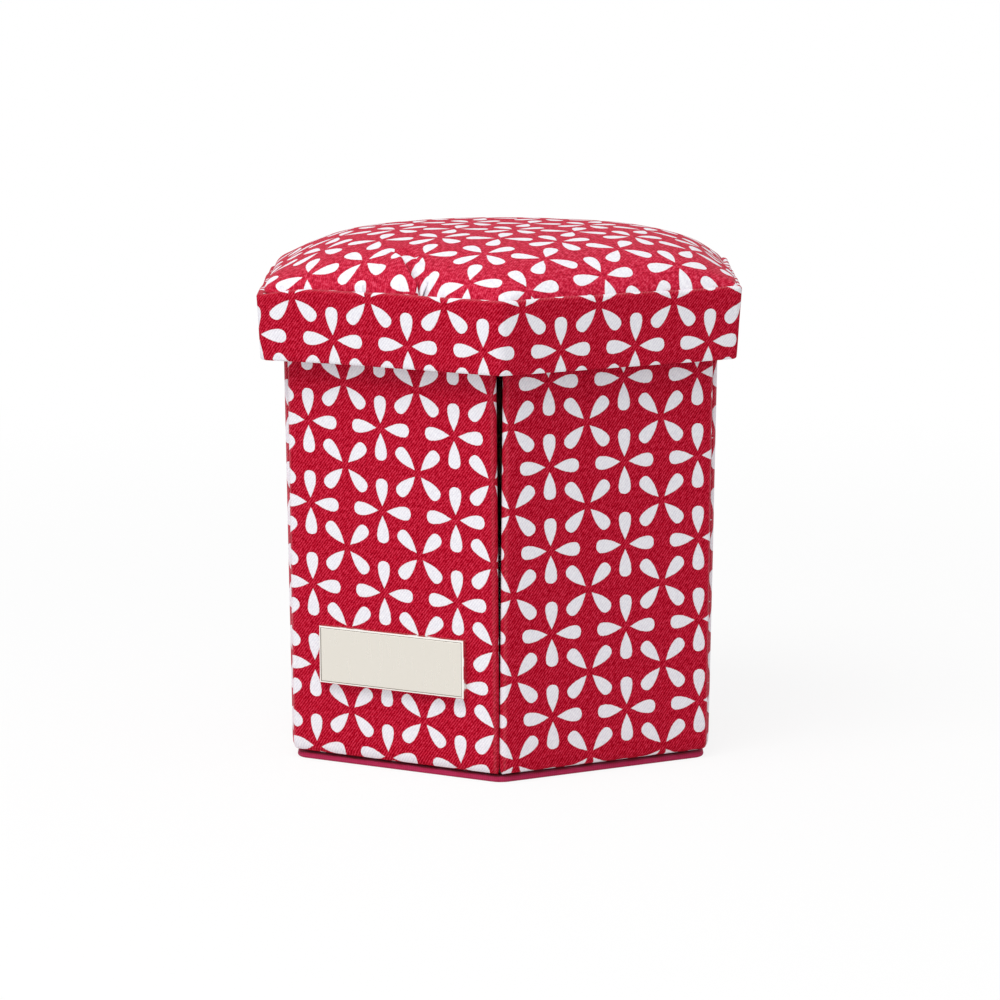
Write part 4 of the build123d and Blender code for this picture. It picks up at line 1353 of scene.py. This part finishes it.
def sewing_needles():
    """Five steel needles on their card, each with its eye."""
    bm = bmesh.new()
    for n in range(NEEDLES):
        whole = cone(bm, 0.3, 0.38, SHANK_LENGTH, SHANK_LOW + SHANK_LENGTH / 2)
        whole += cone(bm, 0.38, 0.03, POINT_LENGTH, SHANK_LOW + SHANK_LENGTH + POINT_LENGTH / 2)
        begun = set(bm.verts)
        ring = bmesh.ops.create_circle(bm, segments=8, radius=EYE_WIRE)["verts"]
        bmesh.ops.translate(bm, vec=(EYE_RADIUS, 0, 0), verts=ring)
        edges = list({e for v in ring for e in v.link_edges})
        spin = {"cent": (0, 0, 0), "axis": (0, 1, 0), "angle": 2 * pi, "steps": 20, "use_merge": True}
        bmesh.ops.spin(bm, geom=ring + edges, **spin)
        eye = [v for v in bm.verts if v not in begun]
        bmesh.ops.scale(bm, vec=(1, 1, EYE_STRETCH), verts=eye)
        bmesh.ops.translate(bm, vec=(0, 0, EYE_HEIGHT), verts=eye)
        x, y, z = NEEDLE_PLACE
        bmesh.ops.translate(bm, vec=(x + NEEDLE_SPACING * n, y, z), verts=whole + eye)
    outwards(bm)
    onto_wall(bm, "back_left")
    dress(finish_mesh(bm, "sewing_needles", "polished_steel"), "wall_back_left", "steel", "needles")


sewing_needles()


# Finishes of the solids that show as they are

BOARDS = ["sole_board", "base_board", "lid_rim_card", "cushion_board"]
BOARDS += [f"wall_board_{wall}" for wall in WALLS]
FINISHES = {node: "grey_bookboard" for node in BOARDS}
FINISHES["rack_pegs"] = "waxed_beech"
FINISHES.update({f"reel_{colour}": "ivory_abs" for colour in SPOOLS})
for node, finish in FINISHES.items():
    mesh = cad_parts[node].data
    mesh.materials.clear()
    mesh.materials.append(materials[finish])


# Floor, light and camera

FLOOR_HALF = 8000
FLOOR_WHITE = 0.86  # share of the floor's own white, over its shaded paper, in the camera's view
WHITE_FROM, WHITE_TO = 0.15, 0.6  # how far out, in metres, that share rises to all of it
AMBIENT = 0.55
KEY_WAY = Vector((-0.31, -0.5, 0.95)).normalized()
KEY_DISTANCE = 1.3
KEY_SIZE = 0.9
KEY_WATTS = 11.2
MIDDLE = Vector((0, 0, 0.0558))
CAMERA_DISTANCE = 0.9932
CAMERA_PITCH = radians(9.034)
CAMERA_ASIDE = 0.00015  # the box stands this far right of the picture's middle, in metres
LENS, SENSOR = 152.1, 36


def seen_rays(tree):
    """1 for the rays that show in the picture, straight or by reflection, and 0 for those that light it."""
    rays = add(tree, "ShaderNodeLightPath")
    seen = rays.outputs["Is Camera Ray"]
    for name in ("Is Glossy Ray", "Is Transmission Ray"):
        seen = calc(tree, "MAXIMUM", seen, rays.outputs[name])
    return seen


def studio_floor():
    material, tree = blank_material("white_paper")
    place = add(tree, "ShaderNodeTexCoord").outputs["Object"]
    out = add(tree, "ShaderNodeVectorMath", {0: place}, operation="LENGTH").outputs["Value"]
    white = spread(tree, out, WHITE_FROM, WHITE_TO, FLOOR_WHITE, 1.0, way="SMOOTHSTEP")
    share = calc(tree, "MULTIPLY", seen_rays(tree), white)
    paper = add(tree, "ShaderNodeBsdfDiffuse", {"Color": linear("#F4F4F4")})
    glow = add(tree, "ShaderNodeEmission", {"Color": (1, 1, 1, 1), "Strength": 1.0})
    mixed = add(tree, "ShaderNodeMixShader", {0: share, 1: paper.outputs[0], 2: glow.outputs[0]})
    add(tree, "ShaderNodeOutputMaterial", {"Surface": mixed.outputs[0]})
    materials["white_paper"] = material
    bm = bmesh.new()
    bmesh.ops.create_grid(bm, x_segments=1, y_segments=1, size=FLOOR_HALF)
    finish_mesh(bm, "studio_floor", "white_paper")


def studio_light():
    world = bpy.data.worlds.new("studio")
    bpy.context.scene.world = world
    world.use_nodes = True
    tree = world.node_tree
    tree.nodes.clear()
    strength = spread(tree, seen_rays(tree), 0.0, 1.0, AMBIENT, 1.0)
    sky = add(tree, "ShaderNodeBackground", {"Color": (1, 1, 1, 1), "Strength": strength})
    add(tree, "ShaderNodeOutputWorld", {"Surface": sky.outputs[0]})
    data = bpy.data.lights.new("key", "AREA")
    data.shape = "DISK"
    data.size = KEY_SIZE
    data.energy = KEY_WATTS
    lamp = placed("key", data)
    lamp.location = MIDDLE + KEY_WAY * KEY_DISTANCE
    lamp.rotation_mode = "QUATERNION"
    lamp.rotation_quaternion = KEY_WAY.to_track_quat("Z", "Y")


def camera():
    data = bpy.data.cameras.new("camera")
    data.lens = LENS
    data.sensor_width = SENSOR
    data.clip_start = 0.01
    data.clip_end = 50
    obj = placed("camera", data)
    back, up = cos(CAMERA_PITCH) * CAMERA_DISTANCE, sin(CAMERA_PITCH) * CAMERA_DISTANCE
    obj.location = MIDDLE + Vector((-CAMERA_ASIDE, -back, up))
    obj.rotation_euler = (pi / 2 - CAMERA_PITCH, 0, 0)
    bpy.context.scene.camera = obj


studio_floor()
studio_light()
camera()
bpy.context.scene.view_settings.view_transform = "Standard"
